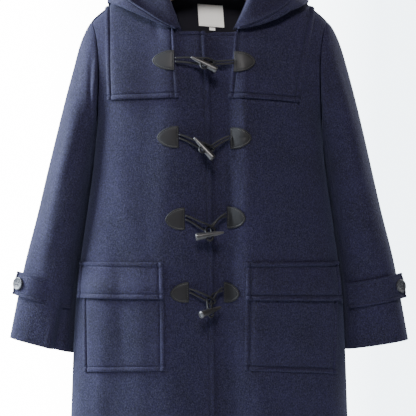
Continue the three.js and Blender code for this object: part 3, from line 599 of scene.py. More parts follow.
leather = {
    "dark": (0.0045, 0.0045, 0.005),
    "light": (0.012, 0.0118, 0.013),
    "grainScale": 1700,
}


def makeLeather(name, lift=1.0):
    g = newMaterial(name)
    place = g.place()
    grain = g.cells(place, leather["grainScale"])
    fine = g.noise(place, 700, 4, 0.6)
    soft = g.noise(place, 70, 2)
    base = g.tint(fine * 0.6 + soft * 0.4, [c * lift for c in leather["dark"]],
                  [c * lift for c in leather["light"]])
    normal = g.bump(grain, 0.00025, 0.3, g.bump(fine, 0.0003, 0.25))
    return g.surface(Base_Color=base, Roughness=0.46 + 0.2 * fine, Normal=normal,
                     Specular_IOR_Level=0.16, Coat_Weight=0.04, Coat_Roughness=0.3)


def makeHorn():
    g = newMaterial("toggle horn")
    own = g.attribute("grain")
    streak = g.noise(g.mapped(own, (1, 1, 0.09)), 330, 5, 0.6, 1.2)
    cloud = g.noise(g.mapped(own, (1, 1, 0.3)), 90, 3, 0.5)
    base = g.tint((streak * 0.65 + cloud * 0.5).between(0.42, 0.78), (0.007, 0.0068, 0.0075),
                  (0.034, 0.032, 0.032))
    return g.surface(Base_Color=base, Roughness=0.32 + 0.16 * streak, Normal=g.bump(streak, 0.0002, 0.2),
                     Coat_Weight=0.1, Coat_Roughness=0.2, Specular_IOR_Level=0.4)


def makeButtonHorn():
    g = newMaterial("button horn")
    own = g.attribute("grain")
    swirl = g.noise(own, 150, 4, 0.6, 2.2)
    veins = g.noise(g.mapped(own, (1, 0.4, 1), (0, 0, 0.5)), 420, 3, 0.5, 1.5)
    base = g.tint(swirl.between(0.4, 0.62), (0.008, 0.008, 0.010), (0.042, 0.044, 0.052))
    base = g.tint(veins.between(0.55, 0.7) * 0.4, base, (0.11, 0.114, 0.125))
    return g.surface(Base_Color=base, Roughness=0.4 + 0.15 * veins, Coat_Weight=0.08,
                     Coat_Roughness=0.25, Specular_IOR_Level=0.25)


def makeLabel():
    g = newMaterial("label tape")
    cut = g.place("UV")
    warp = g.waves(cut, 620)
    weft = g.waves(cut, 430, "Y")
    weave = warp * weft
    fuzz = g.noise(cut, 900, 3)
    base = g.tint(weave * 0.6 + fuzz * 0.4, (0.82, 0.82, 0.79), (0.98, 0.98, 0.95))
    return g.surface(Base_Color=base, Roughness=0.72 + 0.15 * fuzz, Normal=g.bump(weave, 0.00015, 0.5),
                     Sheen_Weight=0.2, Sheen_Roughness=0.4)


def makeThread(name, dark, light):
    g = newMaterial(name)
    twist = g.noise(g.place(), 2600, 2)
    return g.surface(Base_Color=g.tint(twist, dark, light), Roughness=0.6 + 0.2 * twist,
                     Sheen_Weight=0.3, Sheen_Roughness=0.4)


def makeWood():
    g = newMaterial("hanger beech")
    place = g.place()
    grain = g.noise(g.mapped(place, (0.07, 1, 1)), 330, 5, 0.62, 0.8)
    flecks = g.noise(g.mapped(place, (0.2, 1, 1)), 900, 2).between(0.6, 0.72)
    wide = g.noise(g.mapped(place, (0.15, 1, 1)), 40, 2)
    base = g.tint(grain * 0.7 + wide * 0.3, (0.40, 0.22, 0.095), (0.66, 0.43, 0.22))
    base = g.tint(flecks * 0.35, base, (0.25, 0.13, 0.055))
    return g.surface(Base_Color=base, Roughness=0.32 + 0.15 * grain, Normal=g.bump(grain, 0.0002, 0.25),
                     Coat_Weight=0.3, Coat_Roughness=0.2)


def makeSteel():
    g = newMaterial("hook steel")
    place = g.place()
    drawn = g.noise(g.mapped(place, (1, 1, 0.1)), 700, 3)
    base = g.tint(drawn, (0.62, 0.63, 0.65), (0.78, 0.79, 0.81))
    return g.surface(Base_Color=base, Metallic=1.0, Roughness=0.14 + 0.14 * drawn,
                     Normal=g.bump(drawn, 0.00008, 0.2))


meltonCloth = makeMelton("navy melton")
liningCloth = makeLining()
tabLeather = makeLeather("tab leather")
cordLeather = makeLeather("cord leather", 0.75)
toggleHorn = makeHorn()
buttonHorn = makeButtonHorn()
labelTape = makeLabel()
navyThread = makeThread("navy thread", (0.004, 0.004, 0.013), (0.012, 0.012, 0.034))
blackThread = makeThread("black thread", (0.012, 0.012, 0.013), (0.034, 0.034, 0.036))
paleThread = makeThread("pale thread", (0.42, 0.42, 0.39), (0.6, 0.6, 0.57))
beech = makeWood()
plate = makeSteel()
print("materials made")


# thread, laid in short stitches along lines of points that have normals

clothStitch = {"pitch": 3.4, "long": 2.5, "thick": 0.34, "sunk": 0.12}


# rounded grain of thread, given by its middle, its three axes and half its size along each
def addGrain(bm, centre, axes, half, segments):
    turn = Matrix(axes).transposed().to_4x4()
    place = Matrix.Translation(centre) @ turn @ Matrix.Diagonal((*half, 1))
    bmesh.ops.create_uvsphere(bm, u_segments=segments[0], v_segments=segments[1], radius=1, matrix=place)


def threadObject(name, bm, material, slot):
    for face in bm.faces:
        face.smooth = True
    return finishPiece(objectFrom(name, bm), material, slot)


def makeStitches(name, lines, material, slot, stitch):
    bm = bmesh.new()
    half = (stitch["thick"] * mm, stitch["thick"] * mm, stitch["long"] / 2 * mm)
    for points, normals in lines:
        lengths = arcLength(points, 0)

        def at(place, values):
            return Vector([np.interp(place, lengths, values[:, c]) for c in range(3)])
        count = max(1, int(lengths[-1] / stitch["pitch"]))
        for k in range(count):
            place = (k + 0.5) * lengths[-1] / count
            here = at(place, points)
            heading = at(place + 0.5, points) - here
            if heading.length < 1e-6:
                continue
            heading.normalize()
            side = heading.cross(at(place, normals).normalized()).normalized()
            up = side.cross(heading)
            addGrain(bm, (here - up * stitch["sunk"]) * mm, (side, up, heading), half, (6, 4))
    return threadObject(name, bm, material, slot)


# the stretch of a shell's grid that runs beside one edge at its stitch distance
def stitchLine(shell, sewn, side):
    def lineAt(edge, otherwise):
        if edge not in sewn:
            return otherwise
        spacing = shell["distances"][edge].mean(1 if edge in ("low", "top") else 0)
        return int(np.argmin(np.abs(spacing - sewn[edge])))

    rows, columns = shell["outer"].shape[:2]
    index = lineAt(side, 0)
    if side in ("left", "right"):
        cut = (slice(lineAt("low", 0), lineAt("top", rows - 1) + 1), index)
    else:
        cut = (index, slice(lineAt("left", 0), lineAt("right", columns - 1) + 1))
    return shell["outer"][cut], shell["normal"][cut]


meltonFinish = {"material": meltonCloth, "slot": "melton", "thread": navyThread, "stitch": clothStitch}


# makes a piece of cloth with its stitches
def sewCloth(node, surface, turn, look, sewn, lift=0.0, *, flat, area, marks={}, relief=None,
             finish=meltonFinish):
    shell = makeShell(node, surface, turn, look, sewn, lift, marks, relief)
    finishPiece(shell["piece"], finish["material"], finish["slot"], (node,))
    stitches = []
    if sewn:
        lines = [stitchLine(shell, sewn, side) for side in sewn]
        thread, slot, stitch = finish["thread"], finish["slot"], finish["stitch"]
        stitches = [makeStitches(node + "_stitches", lines, thread, slot, stitch)]


# fronts and back

def hem(u):
    return coat["hemZ"] + 0 * u


# where the under front falls back beside the edge that laps over it
underFront = {"depth": 5.0, "place": 6, "width": 7, "end": (20, 34)}


def liftLeft(points):
    x, z = points[..., 0], points[..., 2]
    below = bell(x - edgeX(z) - underFront["place"], underFront["width"])
    return -underFront["depth"] * below * (1 - smooth(x, *underFront["end"]))


panelLook = {"step": 6.5, "dent": 0.95, "fullness": 0.7, "round": 0.9, "level": True}
frontRight = bodySurface(-1, -1, lambda z: -edgeX(z), sideX, hem, lambda x: frontTopZ(-1, x), 7.5,
                         bendZ=coat["underarmZ"])
frontLeft = bodySurface(-1, 1, lambda z: edgeX(z) - coat["underlap"], sideX, hem,
                        lambda x: frontTopZ(1, x), -52.5, bendZ=coat["underarmZ"])
backWhole = bodySurface(1, 1, lambda z: -sideX(z), sideX, hem, backTopZ, -209, bendZ=coat["underarmZ"])
sewCloth("front_right", frontRight, -1, {**panelLook, "dent": 1.5, "fullness": 1.3},
         {"left": 8, "low": 32, "top": 7}, lambda points: lapLift(-1, points[..., 0]),
         flat=(0.27, 0.88), area=0.2)
sewCloth("front_left", frontLeft, 1, panelLook, {"low": 32, "top": 7}, liftLeft,
         flat=(0.32, 0.88), area=0.236)
sewCloth("back", backWhole, -1, panelLook, {"low": 32}, flat=(0.56, 0.91), area=0.42)
print("fronts and back sewn")


# storm yokes, which end a little short of the neck edge

yokeShape = {
    "lowZ": -315,
    "height": 150,             # over which its slanted edges run
    "neckEnd": (85, 103),      # x between which it ends short of the neck edge
    "short": (2.4, 1.2),       # by how much, across and down
    "neckX": (98, 122),        # room beside the neck, and where it ends
    "neckZ": (-225, -175),
    "hangZ": (-316, -290),     # the lower edge stands off below these heights
    "room": 1.2,
    "backHangZ": (-326, -295),
    "backRoom": 1.0,
    "backEdge": (168, 184),
    "backLowZ": -316,
    "backBow": 10,
}


def yokeTop(topZ):
    across, down = yokeShape["short"]

    def top(x):
        room = 1 - smooth(np.abs(x), *yokeShape["neckEnd"])
        return topZ(np.abs(x) - across * room) - down * room
    return top


def slanted(low, top):
    return lambda z: mix(low, top, np.clip((z - yokeShape["lowZ"]) / yokeShape["height"], 0, 1))


# how deep the stitches press the patches of each front
pressed = {-1: 1.1, 1: 1.8}
sideName = {-1: "right", 1: "left"}
yokeLook = {"step": 5.5, "dent": 1.0, "fullness": 0.8, "round": 0.95, "level": True}
yokeSewn = {"left": 8, "right": 8, "low": 8}
yokeTopMarks = {"top": stitchMarks(8)}
# edges are given at the lower and upper end, and the lower edge at both corners
yokes = [
    {"hand": -1, "inner": (52.5, 63.5), "outer": (176.5, 184), "low": (-312.5, -315), "start": 63.5,
     "flat": (0.15, 0.2), "area": 0.0242},
    {"hand": 1, "inner": (35.5, 47), "outer": (156, 185.5), "low": (-312, -319), "start": 47.5,
     "flat": (0.15, 0.2), "area": 0.0253},
]


def pressedLook(look, hand):
    return {**look, "dent": look["dent"] * pressed[hand], "fullness": look["fullness"] * pressed[hand]}


# how far a patch lies above the body's face
def patchLift(hand, points):
    return coat["layGap"] + coat["cloth"] + lapLift(hand, points[..., 0])


for yoke in yokes:
    hand = yoke["hand"]

    def yokeLift(points):
        x, z, room = np.abs(points[..., 0]), points[..., 2], yokeShape["room"]
        neckRoom = room * (1 - smooth(x, *yokeShape["neckX"])) * smooth(z, *yokeShape["neckZ"])
        return patchLift(hand, points) + neckRoom + room * (1 - smooth(z, *yokeShape["hangZ"]))

    surface = bodySurface(-1, hand, slanted(*yoke["inner"]), slanted(*yoke["outer"]),
                          lambda u: mix(*yoke["low"], u), yokeTop(lambda x: frontTopZ(hand, x)),
                          yoke["start"], yoke["outer"][1])
    sewCloth(f"yoke_front_{sideName[hand]}", surface, hand, pressedLook(yokeLook, hand), yokeSewn, yokeLift,
             flat=yoke["flat"], area=yoke["area"], marks=yokeTopMarks)


def backYokeLift(points):
    hanging = 1 - smooth(points[..., 2], *yokeShape["backHangZ"])
    return coat["layGap"] + coat["cloth"] + yokeShape["backRoom"] * hanging


def backYokeLow(u):
    return yokeShape["backLowZ"] - yokeShape["backBow"] * np.sin(np.pi * u)


backEdge = slanted(*yokeShape["backEdge"])
surface = bodySurface(1, 1, lambda z: -backEdge(z), backEdge, backYokeLow, yokeTop(backTopZ),
                      -yokeShape["backEdge"][1], yokeShape["backEdge"][1])
sewCloth("yoke_back", surface, -1, yokeLook, yokeSewn, backYokeLift, flat=(0.38, 0.24), area=0.074,
         marks=yokeTopMarks)
print("yokes sewn")


# sleeves: rings from the armhole to the cuff, with the places of the outer and inner edge

sleeveRings = {
    "at": [0, 0.034, 0.08, 0.155, 0.245, 0.365, 0.5, 0.61, 0.752, 0.857, 1],
    "front": [45, 50, 54, 58, 60, 61, 60, 57, 50, 44, 39],
    "back": [42, 48, 54, 58, 61, 63, 63, 60, 52, 44, 37],
    -1: {
        "outerX": [209, 218.5, 229, 240.5, 254, 271, 289.5, 304, 325, 338, 354],
        "outerZ": [-171.5, -188, -213, -256, -306, -374, -450, -512, -593, -652, -734],
        "innerZ": [-350, -357, -367, -384, -406, -438, -488, -541, -616, -680, -764],
    },
    1: {
        "outerX": [209, 219, 231, 243, 256.5, 273, 290.5, 305, 326, 338, 353],
        "outerZ": [-171.5, -185, -211, -251, -302, -370, -447, -510, -593, -655, -737],
        "innerZ": [-350, -357, -367, -384, -406, -438, -488, -541, -614, -676, -757],
    },
}
sleeve = {
    "gap": 0.3,
    "tuckIn": 7,           # how the inner side hides behind the body's edge
    "tuckBehind": 27,
    "stand": 1.2,
    "frontSeam": 2.36,     # angles of the two seams round the sleeve
    "backSeam": -2.1,
    "seamAngle": -0.001,
    "gapFull": 0.1,        # places down the sleeve where the gap and the tuck are full
    "tuckFull": 0.22,
    "armholeEnd": 0.3,     # place where it no longer follows the armhole
}

# creases of a sleeve: angle and place down it of one end and of the other, width and depth
sleeveCreases = {
    -1: [
        (1.0, 0.02, 2.2, 0.2, 10, 3.0),
        (0.35, 0.03, 0.9, 0.22, 12, 1.6),
        (1.9, 0.16, 1.5, 0.55, 15, 2.6),
        (1.2, 0.3, 1.1, 0.7, 17, -1.8),
        (2.3, 0.44, 0.9, 0.5, 8, 1.8),
        (2.2, 0.53, 1.1, 0.6, 7, 1.3),
        (1.7, 0.6, 1.55, 0.78, 12, 1.9),
        (1.35, 0.9, 1.2, 1.05, 10, 1.0),
        (1.95, 0.1, 1.85, 1.15, 29, -7.0),
        (2.85, 0.1, 2.8, 1.15, 20, 6.5),
        (1.86, 0.86, 1.64, 1.14, 7, -4.5),
        (2.12, 0.84, 1.92, 1.16, 10, 9.5),
        (0.75, 0.1, 0.8, 1.15, 27, 4.5),
        (-0.8, 0.05, -1.7, 0.3, 13, 3.0),
        (-1.5, 0.25, -1.1, 0.6, 16, 2.4),
        (-2.0, 0.46, -0.8, 0.54, 9, 2.0),
        (-1.3, 0.58, -1.2, 0.95, 13, 1.8),
    ],
    1: [
        (1.1, 0.02, 2.0, 0.22, 11, 2.8),
        (0.5, 0.05, 0.8, 0.34, 13, 1.8),
        (1.7, 0.2, 1.8, 0.5, 14, 2.2),
        (1.1, 0.36, 1.3, 0.78, 15, -1.9),
        (2.3, 0.5, 1.0, 0.57, 8, 1.9),
        (2.1, 0.4, 1.3, 0.45, 7, 1.2),
        (1.75, 0.62, 1.5, 0.8, 11, 1.7),
        (1.6, 0.9, 1.45, 1.05, 9, 1.1),
        (2.85, 0.1, 2.8, 1.15, 18, 6.0),
        (-0.9, 0.04, -1.6, 0.26, 12, 2.7),
        (-1.4, 0.3, -1.3, 0.66, 15, 2.6),
        (-2.0, 0.5, -0.9, 0.6, 9, 1.8),
        (-1.2, 0.66, -1.4, 0.98, 12, 1.6),
    ],
}
# a crease's plane: round the sleeve and down it, both in millimetres
sleevePlane = {"round": 62, "down": 600}


def armholePoint(hand, angle):
    z = mix(coat["underarmZ"], coat["shoulderTipZ"], (1 + np.cos(angle)) / 2)
    side = hand * sideAngle(z)
    front = (np.sin(angle) > 0)[..., None]
    return np.where(front, bodyPoint(-1, z, side), bodyPoint(1, z, side))


def sleeveRing(hand, at, angle):
    ring = {**sleeveRings, **sleeveRings[hand]}
    outerX, outerZ, innerZ, front, back = (
        along(ring, "at", key, at) for key in ("outerX", "outerZ", "innerZ", "front", "back"))
    tuck = smooth(at, 0, sleeve["tuckFull"])
    innerGap = sleeve["gap"] * smooth(at, 0, sleeve["gapFull"]) - sleeve["tuckIn"] * tuck
    innerX = along(bodySections, "z", "side", innerZ) + innerGap
    share = (1 + np.cos(angle)) / 2
    depth = np.where(np.sin(angle) > 0, front, back)
    y = sleeve["tuckBehind"] * tuck * (1 - share) - depth * np.sin(angle)
    return np.stack([hand * mix(innerX, outerX, share), y, mix(innerZ, outerZ, share)], -1)


def sleevePoint(hand, at, angle):
    at, angle = np.broadcast_arrays(np.asarray(at, float), np.asarray(angle, float))
    point = sleeveRing(hand, at, angle)
    change = armholePoint(hand, angle) - sleeveRing(hand, 0 * at, angle)
    point = point + change * (1 - smooth(at, 0, sleeve["armholeEnd"]))[..., None]
    point[..., 0] += hand * sleeve["stand"]
    return point


def sleeveCrease(hand, at, angle):
    around, down = sleevePlane["round"], sleevePlane["down"]
    offset = np.zeros(np.broadcast(at, angle).shape)
    wrapped = np.where(angle > np.pi, angle - 2 * np.pi, angle)
    for angle0, at0, angle1, at1, width, depth in sleeveCreases[hand]:
        crease = (angle0 * around, at0 * down, angle1 * around, at1 * down, width, depth)
        offset -= troughAt(wrapped * around, at * down, crease)
    return offset


# seams pull the cloth in along some edges of a piece
def seamDip(edges, depth=0.9, reach=3.0):
    return lambda distances: sum(-depth * bell(distances[edge], reach) for edge in edges)


sleeveLook = {"step": 6, "round": 0.9}
cuffMarks = {"top": stitchMarks(34)}
sleeveParts = [
    {"name": "upper", "from": sleeve["backSeam"], "to": sleeve["frontSeam"], "flat": (0.29, 0.63),
     "area": 0.112},
    {"name": "under", "from": sleeve["frontSeam"], "to": sleeve["backSeam"] + 2 * math.pi,
     "flat": (0.13, 0.45), "area": 0.042},
]
for hand in (-1, 1):
    for part in sleeveParts:
        def sleeveSurface(u, v):
            angle = mix(part["from"] + sleeve["seamAngle"], part["to"] - sleeve["seamAngle"], u)
            point = sleevePoint(hand, v, angle)
            outward = unit(point - sleevePoint(hand, v, angle + math.pi))
            return point + outward * sleeveCrease(hand, v, angle)[..., None]

        sewCloth(f"sleeve_{part['name']}_{sideName[hand]}", sleeveSurface, hand, sleeveLook, {},
                 flat=part["flat"], area=part["area"], marks=cuffMarks,
                 relief=seamDip(("left", "right", "low")))
print("sleeves sewn")


# pockets, and flaps over them

def frontPatch(hand, inner, outer, topZ, low):
    def surface(u, v):
        z = mix(mix(low[0], low[1], u), topZ, v)
        start = angleAt(z, mix(inner[1], inner[0], v))
        end = angleAt(z, mix(outer[1], outer[0], v))
        return bodyPoint(-1, z, hand * mix(start, end, u))
    return surface


pocketLook = {"step": 5, "dent": 1.05, "fullness": 0.85, "round": 1.0, "level": True}
pocketSewn = {"left": 8, "right": 8, "low": 8}
flapSewn = {side: 8 for side in sides}
flapShape = {
    "room": 0.6,               # between the flap and the pocket
    "hangZ": (-660, -606),     # heights between which it leaves the front
    "proud": 2.4,              # how far its outer end stands off
    "proudX": (190, 224),
}
# inner and outer edges are given at the top and bottom, low at the inner and outer corner
pockets = [
    {"name": "pocket", "hand": -1, "inner": (78, 77), "outer": (220.5, 219.5), "low": (-785, -790.5),
     "topZ": -632, "flat": (0.145, 0.157), "area": 0.0225},
    {"name": "pocket_flap", "hand": -1, "inner": (80.2, 78.3), "outer": (226, 227.5),
     "low": (-661, -662), "topZ": -598, "flat": (0.155, 0.066), "area": 0.0100},
    {"name": "pocket", "hand": 1, "inner": (63.5, 61.5), "outer": (225, 221.5), "low": (-784, -794),
     "topZ": -632, "flat": (0.163, 0.16), "area": 0.0256},
    {"name": "pocket_flap", "hand": 1, "inner": (64.3, 65), "outer": (225.5, 228.5),
     "low": (-662.5, -667), "topZ": -598, "flat": (0.17, 0.068), "area": 0.0112},
]
for pocket in pockets:
    hand, flap = pocket["hand"], pocket["name"] == "pocket_flap"

    def pocketLift(points):
        if not flap:
            return patchLift(hand, points)
        lower = np.minimum(1.5 - 1.5 * smooth(points[..., 2], *flapShape["hangZ"]), 1)
        proud = flapShape["proud"] * (1 - smooth(np.abs(points[..., 0]), *flapShape["proudX"]))
        return patchLift(hand, points) + (coat["cloth"] + flapShape["room"] + proud) * lower

    surface = frontPatch(hand, pocket["inner"], pocket["outer"], pocket["topZ"], pocket["low"])
    sewCloth(f"{pocket['name']}_{sideName[hand]}", surface, hand, pressedLook(pocketLook, hand),
             flapSewn if flap else pocketSewn, pocketLift, flat=pocket["flat"], area=pocket["area"])
print("pockets sewn")


# cuff straps with their free ends

strap = {
    "start": sleeve["frontSeam"] - 0.04,   # angles where it starts and where it leaves the sleeve
    "leave": 0.62,
    "turn": 0.02,          # angle over which its heading is taken there
    "wrapped": 0.8,        # share of its length that lies on the sleeve
    "free": 24,            # length of the free end
    "corner": 0.07,        # share by which the free end's corners fall short
    "lift": 1.1,
}
straps = [
    {"hand": -1, "from": 0.795, "to": 0.868, "flat": (0.11, 0.045), "area": 0.0048},
    {"hand": 1, "from": 0.797, "to": 0.872, "flat": (0.11, 0.047), "area": 0.0050},
]
strapLook = {"step": 4, "dent": 0.8, "fullness": 0.8, "round": 0.9}


def strapPoint(band, u, v):
    u, v = np.broadcast_arrays(np.asarray(u, float), np.asarray(v, float))
    hand = band["hand"]
    at = mix(band["to"], band["from"], v)
    angle = mix(strap["start"], strap["leave"], np.clip(u / strap["wrapped"], 0, 1))
    on = sleevePoint(hand, at, angle)
    leave = sleevePoint(hand, at, strap["leave"] + 0 * at)
    heading = unit(leave - sleevePoint(hand, at, strap["leave"] + strap["turn"] + 0 * at))
    rounded = 1 - strap["corner"] * np.abs(2 * v - 1) ** 4
    beyond = strap["free"] * rounded * (u - strap["wrapped"]) / (1 - strap["wrapped"])
    return np.where((u <= strap["wrapped"])[..., None], on, leave + heading * beyond[..., None])


for band in straps:
    side = sideName[band["hand"]]
    sewCloth(f"cuff_strap_{side}", lambda u, v: strapPoint(band, u, v), band["hand"], strapLook,
             {"right": 5, "low": 5, "top": 5}, strap["lift"] + coat["cloth"], flat=band["flat"],
             area=band["area"], marks={"left": plainMarks(6)})
print("cuff straps sewn")


# hood, which lies open behind the neck

# Its sections from the front corner round to the middle of the back. neck is the start's x on the neck
# seam. The others cross the trough: roll over the neck, inner and outer bottom, rim.
hoodColumns = ("at", "face", "neck", "roll", "inner", "outer", "rim")
hoodRows = [dict(zip(hoodColumns, row)) for row in (
    (0, -1, 55, (55, -58.5, -187), (56.5, -61.5, -189), (59.5, -66, -191.5), (60.5, -69, -187.5)),
    (0.1, -1, 62, (60, -56.5, -166.5), (74, -61, -175), (84, -65.5, -183), (86, -69, -174)),
    (0.22, -1, 71, (72, -49, -139), (98, -52, -160), (116, -60.5, -168), (114, -65, -156)),
    (0.34, -1, 80, (83, -31, -106), (122, -38, -143), (149, -49.5, -154), (138, -54.5, -140)),
    (0.44, -1, 84, (87, -10, -89), (136, -20, -124), (173, -31.5, -143), (148, -39, -126)),
    (0.53, 1, 84, (89, 9, -82), (144, 10, -112), (181, 4, -136), (152, 2, -108)),
    (0.64, 1, 74, (86, 34, -82), (138, 46, -124), (174, 52, -156), (148, 54, -106)),
    (0.77, 1, 58, (68, 50, -85), (116, 70, -184), (146, 90, -212), (122, 92, -114)),
    (0.89, 1, 34, (38, 60, -88), (72, 82, -290), (92, 114, -312), (74, 114, -130)),
    (1, 1, 0.2, (0.2, 65, -90), (0.2, 84, -350), (0.2, 120, -366), (0.2, 126, -142)),
)]
# the wearer's left side lies a little lower and closer to the neck
leftHoodShift = {
    "at": [0, 0.1, 0.22, 0.34, 0.44, 0.53, 0.64, 1],
    "drop": [0, 3, 6, 4, 1, 0, 0, 0],
    "close": [8, 4, 2, 4, 5, 4, 2, 0],
}
hoodSizes = {"room": 4.2, "rimStitch": 5}
# creases of the hood: shares round it and across it of one end and of the other, width and depth
hoodCreases = {
    -1: [
        (0.18, 0.5, 0.46, 0.86, 0.05, 2.0),
        (0.58, 0.35, 0.66, 0.95, 0.04, 2.6),
        (0.74, 0.3, 0.8, 0.9, 0.035, -2.2),
        (0.9, 0.45, 0.84, 0.95, 0.04, 2.4),
    ],
    1: [
        (0.2, 0.55, 0.42, 0.9, 0.05, 1.7),
        (0.55, 0.4, 0.62, 0.98, 0.045, 2.3),
        (0.7, 0.3, 0.77, 0.85, 0.035, -2.0),
        (0.92, 0.4, 0.86, 0.92, 0.04, 2.6),
    ],
}


# smooth curve through a few points, at shares v of its stretches
def curvePoints(points, v):
    points = np.array(points, float)
    stretches = len(points) - 1
    place = np.clip(np.asarray(v, float) * stretches, 0, stretches)
    i = np.minimum(place.astype(int), stretches - 1)
    w = (place - i)[..., None]
    before = np.vstack([2 * points[:1] - points[1:2], points])
    after = np.vstack([points, 2 * points[-1:] - points[-2:-1]])
    p0, p1, p2, p3 = before[i], points[i], points[i + 1], after[i + 2]
    gaps = [np.maximum(np.linalg.norm(b - a, axis=-1, keepdims=True) ** 0.5, 1e-4)
            for a, b in ((p0, p1), (p1, p2), (p2, p3))]
    t1 = ((p1 - p0) / gaps[0] - (p2 - p0) / (gaps[0] + gaps[1]) + (p2 - p1) / gaps[1]) * gaps[1]
    t2 = ((p2 - p1) / gaps[1] - (p3 - p1) / (gaps[1] + gaps[2]) + (p3 - p2) / gaps[2]) * gaps[1]
    return (p1 + t1 * w + (3 * (p2 - p1) - 2 * t1 - t2) * w ** 2 + (2 * (p1 - p2) + t1 + t2) * w ** 3)


def hoodKnots(hand, row):
    corner, face = coat["neckCorner"], row["face"]
    edge = max(row["neck"], corner[hand] + 1) if face < 0 else row["neck"]
    neckX = corner[1] + 1 if hand > 0 and row["at"] < 0.1 else edge
    top = (lambda x: float(frontTopZ(hand, x))) if face < 0 else (lambda x: float(backTopZ(x)))
    start = bodyPoint(face, top(neckX), angleAt(top(neckX), neckX))
    away = np.array([top(neckX - 1) - top(neckX), 1])
    away *= hoodSizes["room"] / np.linalg.norm(away)
    neck = (max(neckX + away[0], 0.2), start[1] + 1.2 * face, top(neckX) + away[1])
    drop, close = ((float(along(leftHoodShift, "at", key, row["at"])) for key in ("drop", "close"))
                   if hand > 0 else (0, 0))

    def placed(point, share):
        inward = close * (share if row["at"] > 0 else 1)
        return (max(point[0] - inward, 0.2), point[1], point[2] - drop * share)
    return [neck, placed(row["roll"], 0.2), placed(row["inner"], 0.3), placed(row["outer"], 1),
            placed(row["rim"], 0.7)]


def hoodSurface(hand):
    keys = [row["at"] for row in hoodRows]
    knots = [hoodKnots(hand, row) for row in hoodRows]

    def surface(u, v):
        rows = np.stack([curvePoints(points, v) for points in knots])
        i = np.clip(np.searchsorted(keys, u) - 1, 0, len(keys) - 2)
        at = np.array(keys)

        def rowAt(k):
            return np.take_along_axis(rows, k[None, ..., None], 0)[0]

        def slopeAt(k):
            before, after = np.maximum(k - 1, 0), np.minimum(k + 1, len(keys) - 1)
            return (rowAt(after) - rowAt(before)) / (at[after] - at[before])[..., None]
        step = (at[i + 1] - at[i])[..., None]
        t = np.clip((u - at[i])[..., None] / step, 0, 1)
        point = hermite(t, step, (rowAt(i), rowAt(i + 1)), (slopeAt(i), slopeAt(i + 1)))
        point[..., 0] = hand * np.maximum(point[..., 0], 0.2)
        return point

    def creased(u, v):
        point = surface(u, v)
        depth = sum(troughAt(u, v, crease) for crease in hoodCreases[hand])
        return point - normalsOf(point, hand) * depth[..., None]
    return creased


hoodLook = {"step": 5, "dent": 1.2, "fullness": 1.0, "round": 1.1}
for hand in (-1, 1):
    sewCloth(f"hood_{sideName[hand]}", hoodSurface(hand), hand, hoodLook, {"top": hoodSizes["rimStitch"]},
             coat["cloth"] / 2, flat=(0.42, 0.34), area=0.081, marks={"left": plainMarks(6)},
             relief=seamDip(("right", "low"), 0.8))
print("hood sewn")


# flat outlines and solids made of rings

def roundedOutline(points, count, soft):
    closed = np.vstack([points, points[:1]])
    lengths = arcLength(closed, 0)
    at = np.linspace(0, lengths[-1], count, endpoint=False)
    outline = np.stack([np.interp(at, lengths, closed[:, c]) for c in range(2)], -1)
    for _ in range(soft):
        outline = (np.roll(outline, 1, 0) + 2 * outline + np.roll(outline, -1, 0)) / 4
    return outline


def insetRing(outline, inset):
    centre = outline.mean(0)
    heading = np.roll(outline, -1, 0) - np.roll(outline, 1, 0)
    outward = unit(np.stack([heading[:, 1], -heading[:, 0]], -1))
    reach = ((outline - centre) * outward).sum(-1)
    if reach.mean() < 0:
        outward, reach = -outward, -reach
    share = np.clip(1 - inset / reach, 0, 1)
    return centre + (outline - centre) * share[:, None]


# closed skin made of rings of points, the first and last of which close to a point
def ringSolid(name, rings, flat=None):
    bm = gridMesh(rings, rings[..., [0, 2]] if flat is None else flat, closed=True)
    bmesh.ops.remove_doubles(bm, verts=bm.verts, dist=1e-6)
    bmesh.ops.recalc_face_normals(bm, faces=bm.faces)
    return objectFrom(name, bm)


# places on the body's face raised by a height along its normal
def onBody(face, hand, x, z, height):
    def at(across, up):
        return bodyPoint(face, z + up, hand * angleAt(z + up, x + across))
    normal = np.cross(at(0.5, 0) - at(-0.5, 0), at(0, 0.5) - at(0, -0.5))
    normal = unit(normal * face / np.where(normal[..., 1:2] == 0, 1, np.sign(normal[..., 1:2])))
    return at(0, 0) + normal * np.asarray(height)[..., None], normal


# toggle closures: straight is a tab's sewn side and tip the end of its arch

tabLook = {
    "stitch": 2.7,         # inset and height of the stitches
    "stitchHeight": 1.7,
    "room": 0.75,          # below the leather
    "powers": (0.9, 2.3, 0.62),  # of the arch's points, of its width and of its roundness
}
tabStitch = {"pitch": 2.9, "long": 2.1, "thick": 0.3, "sunk": 0.05}
